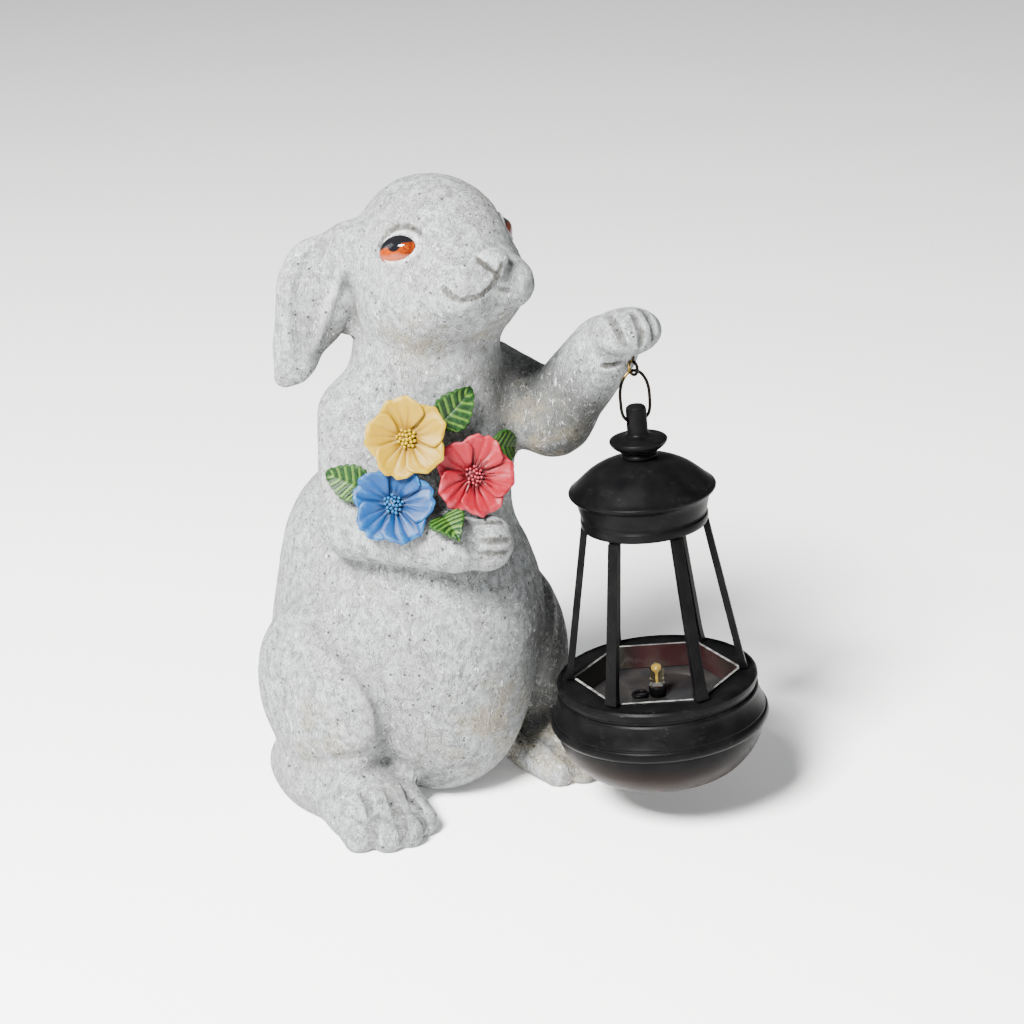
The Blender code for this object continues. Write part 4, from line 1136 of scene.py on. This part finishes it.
def lantern_matrix():
    lean = sin(LANTERN_LEAN)
    axis = Vector((-lean * cos(LEAN_HEADING), -lean * sin(LEAN_HEADING), cos(LANTERN_LEAN)))
    turn = Vector((0, 0, 1)).rotation_difference(axis).to_matrix().to_4x4()
    return Matrix.Translation(EYELET_PLACE - axis * EYELET_LOW) @ turn


LANTERN = lantern_matrix()


def curve(*corners, steps=4):
    """A rounded run of a turned profile."""
    flat = [(radius, 0.0, level) for radius, level in corners]
    return [(spot[0], spot[2]) for spot in rounded_path(flat, steps)]


def make_base(paint):
    wall = curve((34.9, 28.2), (35.0, 26.6), (35.5, 24.6), (36.3, 22.6), (37.0, 21.2))
    bead = curve((36.9, 20.7), (37.6, 20.2), (38.0, 19.0), (37.9, 17.8), (37.2, 16.9), (36.5, 16.6))
    bowl = curve((36.4, 16.0), (35.5, 12.6), (33.5, 8.2), (30.0, 3.7), (26.8, 1.0), (24.0, 0.05))
    profile = [(32.7, 29.0), (34.3, 29.0)] + wall + bead + bowl
    profile += [(23.0, 0.05), (22.4, 0.6), (0.0, 0.6), (0.0, 2.2), (22.9, 2.2), (28.5, 3.8), (30.7, 10.6)]
    profile += [(30.7, 23.3), (32.7, 23.3)]
    piece = lathe("base_bowl", profile, 144, True)
    soften(piece, 0.18, 2, 24)
    place_piece(piece, LANTERN)
    dress(piece, paint, "black_plastic", "lantern_base")


def make_rim(paint, shine, lip):
    """The rim's ring, with a raised lip round its six-sided tray opening."""
    profile = [(22.6, 33.9), (33.2, 33.9), (34.2, 33.5), (34.8, 32.8), (34.9, 31.6), (34.5, 30.4)]
    profile += [(34.1, 30.1), (34.1, 29.3), (32.4, 29.3), (32.4, 25.4), (22.6, 25.4)]
    piece = lathe("rim_ring", profile, 144, True)
    first = heading(CAMERA_SIDE + pi / 6)
    turn = atan2(first.y, first.x) + pi / 2
    carve_out(piece, drum("tray_tool", HEX_CORNER, 15.0, 45.0, 6, turn))
    channel = drum("channel_tool", 33.2, 33.35, 45.0, 96)
    carve_out(channel, drum("lip_core", HEX_CORNER + 1.1, 30.0, 50.0, 6, turn))
    carve_out(piece, channel)
    soften(piece, 0.30, 3, 24)
    spots = co_of(piece.data)
    sides = [turn + k * pi / 3 for k in range(3)]
    away = np.max([np.abs(spots[:, 0] * cos(side) + spots[:, 1] * sin(side)) for side in sides], axis=0)
    inner = HEX_CORNER * cos(pi / 6)
    on_wall = away < inner + 0.45
    on_lip = (away < inner + 1.1) & (spots[:, 2] > RIM_TOP - 0.45)
    for material in (paint, shine, lip):
        piece.data.materials.append(material)
    for face in piece.data.polygons:
        corners = list(face.vertices)
        if on_lip[corners].all():
            face.material_index = 2
        elif on_wall[corners].all() and np.ptp(away[corners]) < 0.6:
            face.material_index = 1
    place_piece(piece, LANTERN)
    dress(piece, None, "black_plastic", "lantern_rim")


def make_floor(paint):
    piece = drum("tray_floor", 32.3, FLOOR_TOP - 1.4, FLOOR_TOP, 96)
    select_only(piece)
    bpy.ops.object.mode_set(mode="EDIT")
    bpy.ops.mesh.select_all(action="DESELECT")
    bpy.ops.object.mode_set(mode="OBJECT")
    for face in piece.data.polygons:
        face.select = face.normal.z > 0.9
    bpy.ops.object.mode_set(mode="EDIT")
    bpy.ops.mesh.inset(thickness=12.0)
    bpy.ops.mesh.inset(thickness=0.5, depth=-0.25)
    bpy.ops.mesh.inset(thickness=1.2)
    bpy.ops.mesh.inset(thickness=0.4, depth=0.25)
    bpy.ops.object.mode_set(mode="OBJECT")
    soften(piece, 0.12, 2, 30)
    place_piece(piece, LANTERN)
    dress(piece, paint, "tray_plate", "lantern_floor")


def make_posts(paint):
    """Six slim square bars, flared at the foot, from rim to roof."""
    for index in range(6):
        out = heading(CAMERA_SIDE + (index + 0.5) * pi / 3)
        side = Vector((out.y, -out.x, 0.0))
        foot = out * 30.0 + Vector((0, 0, RIM_TOP + 0.3))
        head = out * 20.5 + Vector((0, 0, SKIRT_LOW - 0.3))
        bar = start_from("cage_bar_%d" % (index + 1), bpy.ops.mesh.primitive_cube_add, size=2.0)
        bpy.ops.object.mode_set(mode="EDIT")
        bpy.ops.mesh.subdivide(number_cuts=15)
        bpy.ops.object.mode_set(mode="OBJECT")
        shaped = []
        for x, y, z in co_of(bar.data):
            level = (z + 1.0) / 2
            wide = 1.75 + 0.30 * (1.0 - level) + 0.35 * smooth_step(0.10, 0.0, level)
            through = 1.2 * y + 0.2 * smooth_step(0.08, 0.0, level) * y + 0.12 * (y > 0) * (1.0 - x * x)
            shaped.append(foot.lerp(head, level) + side * wide * x + out * through)
        set_co(bar.data, np.array([tuple(spot) for spot in shaped]))
        select_only(bar)
        bpy.ops.object.mode_set(mode="EDIT")
        bpy.ops.mesh.select_all(action="SELECT")
        bpy.ops.mesh.normals_make_consistent(inside=False)
        bpy.ops.object.mode_set(mode="OBJECT")
        soften(bar, 0.30, 3, 20)
        place_piece(bar, LANTERN)
        dress(bar, paint, "black_plastic", "lantern_post_%d" % (index + 1))


def make_roof(paint):
    dome = curve((0.0, 112.9), (5.0, 112.7), (11.6, 111.2), (17.0, 108.6), (20.8, 105.6), (23.4, 103.2),
                 (24.6, 102.3))
    skirt = [(25.0, 101.9), (24.9, 101.2)] + curve((24.2, 100.4), (23.2, 99.6), (22.5, 98.0), (21.9, 95.6))
    skirt += [(21.5, 93.8), (21.2, 93.4), (21.25, 92.6), (21.7, 92.3)]
    skirt += [(21.7, 90.6), (21.2, 89.3), (20.6, 89.1)]
    inner = [(18.4, 89.1), (18.3, 97.9), (17.6, 103.6), (6.2, 110.7), (0.0, 111.1)]
    piece = lathe("roof_dome", dome + skirt + inner, 144)
    soften(piece, 0.16, 2, 24)
    place_piece(piece, LANTERN)
    dress(piece, paint, "black_plastic", "lantern_roof")


def make_knob(paint):
    foot = [(0.0, 113.2), (6.15, 113.2), (6.15, 114.0), (5.7, 114.7)]
    disc = curve((5.9, 115.0), (7.6, 116.0), (9.3, 117.5), (9.8, 118.7), (9.2, 119.5), (7.4, 120.0),
                 (5.2, 120.3), (3.9, 120.8), (3.5, 121.6))
    stem = [(3.5, 129.2), (3.3, 130.2), (2.6, 130.8), (0.0, 131.0)]
    piece = lathe("knob_stem", foot + disc + stem, 96)
    along = heading(CAMERA_SIDE + radians(20) + pi / 2)
    drill = start_from("stem_drill", bpy.ops.mesh.primitive_cylinder_add, vertices=32,
                       radius=HOLE_RADIUS, depth=14.0, location=(0, 0, HOLE_LEVEL),
                       rotation=along.to_track_quat("Z", "Y").to_euler())
    carve_out(piece, drill)
    soften(piece, 0.22, 2, 30)
    place_piece(piece, LANTERN)
    dress(piece, paint, "black_plastic", "lantern_knob")


def bent_wire(name, points, closed=True):
    """A round wire bent through points."""
    bend = bpy.data.curves.new(name, "CURVE")
    bend.dimensions = "3D"
    bend.bevel_depth = WIRE_RADIUS
    bend.bevel_resolution = 5
    bend.use_fill_caps = not closed
    run = bend.splines.new("POLY")
    run.points.add(len(points) - 1)
    for knot, point in zip(run.points, points):
        knot.co = (*point, 1.0)
    run.use_cyclic_u = closed
    guide = new_piece(name, bend)
    select_only(guide)
    bpy.ops.object.convert(target="MESH")
    wire = bpy.context.object
    bpy.ops.object.shade_smooth()
    return wire


def make_ring_and_eyelet(paint):
    side = heading(CAMERA_SIDE + radians(20) + pi / 2)
    half_wide, half_high, low = 5.15, 8.6, 125.66
    points = []
    for index in range(120):
        angle = 2 * pi * index / 120
        level = half_high * sin(angle)
        if sin(angle) < 0:
            level = -half_high * (1.0 - abs(cos(angle)) ** 3.6) ** (1 / 3.6)
        points.append(side * half_wide * cos(angle) + Vector((0, 0, low + half_high + level)))
    ring = bent_wire("hanging_ring", points)
    place_piece(ring, LANTERN)
    dress(ring, paint, "black_wire", "lantern_ring")

    side = heading(CAMERA_SIDE - radians(52) + pi / 2)
    middle = EYELET_PLACE + Vector((0, 0, 2.25))
    points = [middle + Vector((0, 0, 6.9))]
    points += [middle + Vector((0, 0, 5.0)), middle + Vector((0, 0, 3.6))]
    for index in range(45):
        angle = pi / 2 - 2 * pi * index / 48
        points.append(middle + side * 2.25 * cos(angle) + Vector((0, 0, 2.25 * sin(angle))))
    eyelet = bent_wire("paw_eye", points, False)
    place_piece(eyelet, Matrix.Identity(4))
    dress(eyelet, paint, "black_wire", "paw_eyelet")


def make_lamp(black, clear, core):
    """Lamp in its sleeve, and a wire loop lying on the floor beside it."""
    sleeve = [(0.0, 29.0), (2.2, 29.0), (2.3, 28.8), (2.9, 29.0), (3.1, 28.7)]
    sleeve += [(3.1, 26.4), (2.8, 26.1), (2.8, 25.4), (0.0, 25.4)]
    holder = lathe("lamp_sleeve", sleeve, 48)
    soften(holder, 0.15, 2, 30)
    place_piece(holder, LANTERN)
    dress(holder, black, "black_plastic", "led_holder")

    dome = curve((0.0, 37.3), (1.0, 37.1), (1.9, 36.4), (2.4, 35.4), (2.5, 34.7))
    lens = lathe("lamp_lens", dome + [(2.5, 30.4), (2.88, 30.3), (2.88, 29.3), (0.0, 29.3)], 48)
    soften(lens, 0.10, 2, 40)
    place_piece(lens, LANTERN)
    dress(lens, clear, "clear_lens", "led_bulb")
    cup = lathe("lamp_core", [(0.0, 36.3), (0.8, 36.2), (1.3, 35.6), (1.2, 34.9), (0.5, 34.3), (0.3, 33.4),
                              (0.3, 30.2), (0.0, 30.2)], 32)
    soften(cup, 0.06, 2, 40)
    place_piece(cup, LANTERN)
    cup.data.materials.clear()
    cup.data.materials.append(core)
    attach(cup, "root")

    centre = heading(CAMERA_SIDE - pi / 2) * 6.2
    loop = start_from("floor_loop", bpy.ops.mesh.primitive_torus_add, major_segments=64,
                      minor_segments=16, major_radius=2.5, minor_radius=0.6,
                      location=(centre.x, centre.y, FLOOR_TOP + 0.9))
    settle_down(loop)
    bpy.ops.object.shade_smooth()
    place_piece(loop, LANTERN)
    dress(loop, black, "black_plastic", "floor_grommet")


def shine_paint():
    """Bare glossy edge and walls of the tray, with painted brown and green reflections."""
    paint = Paint("tray_wall", 0.16, Specular_IOR_Level=0.35)
    place = paint.place()
    cloud = paint.noise(place, 0.11, 2.0)
    across = paint.split(place, 0)
    # Painted reflection: reddish brown on the walls towards +X and in lighter patches.
    colour = paint.mix(across.ramp(50.0, 60.0), (0.007, 0.008, 0.0065), (0.016, 0.006, 0.0065))
    colour = paint.mix(cloud.ramp(0.4, 0.7) * 0.5, colour, (0.022, 0.02, 0.016))
    paint.colour(colour)
    return paint.material


def lip_paint():
    """The tray's lip, a light grey line of painted highlight."""
    paint = Paint("tray_lip", 0.30)
    # Painted highlight along the lip, uneven in strength.
    highlight_noise = paint.noise(paint.place(), 0.35, 2.0)
    paint.colour(paint.mix(highlight_noise.ramp(0.35, 0.65), (0.06, 0.06, 0.06), (0.20, 0.198, 0.19)))
    return paint.material


def core_paint():
    """Yellow die and cup inside the lamp."""
    paint = Paint("lamp_core", 0.35, Emission_Strength=0.25)
    paint.shader.inputs["Base Color"].default_value = (0.42, 0.27, 0.04, 1.0)
    paint.shader.inputs["Emission Color"].default_value = (0.9, 0.7, 0.25, 1.0)
    return paint.material


stage_and_light()
carve_rabbit(stone_paint())
make_eyes(eye_paint())
flower_paints = [
    flower_paint("yellow_paint", (0.085, 0.034, 0.0), (0.20, 0.118, 0.0), (0.27, 0.185, 0.0)),
    flower_paint("red_paint", (0.035, 0.0, 0.001), (0.165, 0.002, 0.008), (0.27, 0.04, 0.055)),
    flower_paint("blue_paint", (0.0, 0.003, 0.018), (0.0, 0.026, 0.10), (0.015, 0.095, 0.205)),
]
for number, (flower, petals) in enumerate(zip(FLOWERS, flower_paints)):
    make_flower(number, *flower, petals)
green = leaf_paint()
for leaf in LEAVES:
    make_leaf(*leaf, green)
black = black_paint()
make_base(black)
make_rim(black, shine_paint(), lip_paint())
make_floor(plate_paint())
make_posts(black)
make_roof(black)
make_knob(black)
make_ring_and_eyelet(wire_paint())
make_lamp(black, lens_paint(), core_paint())
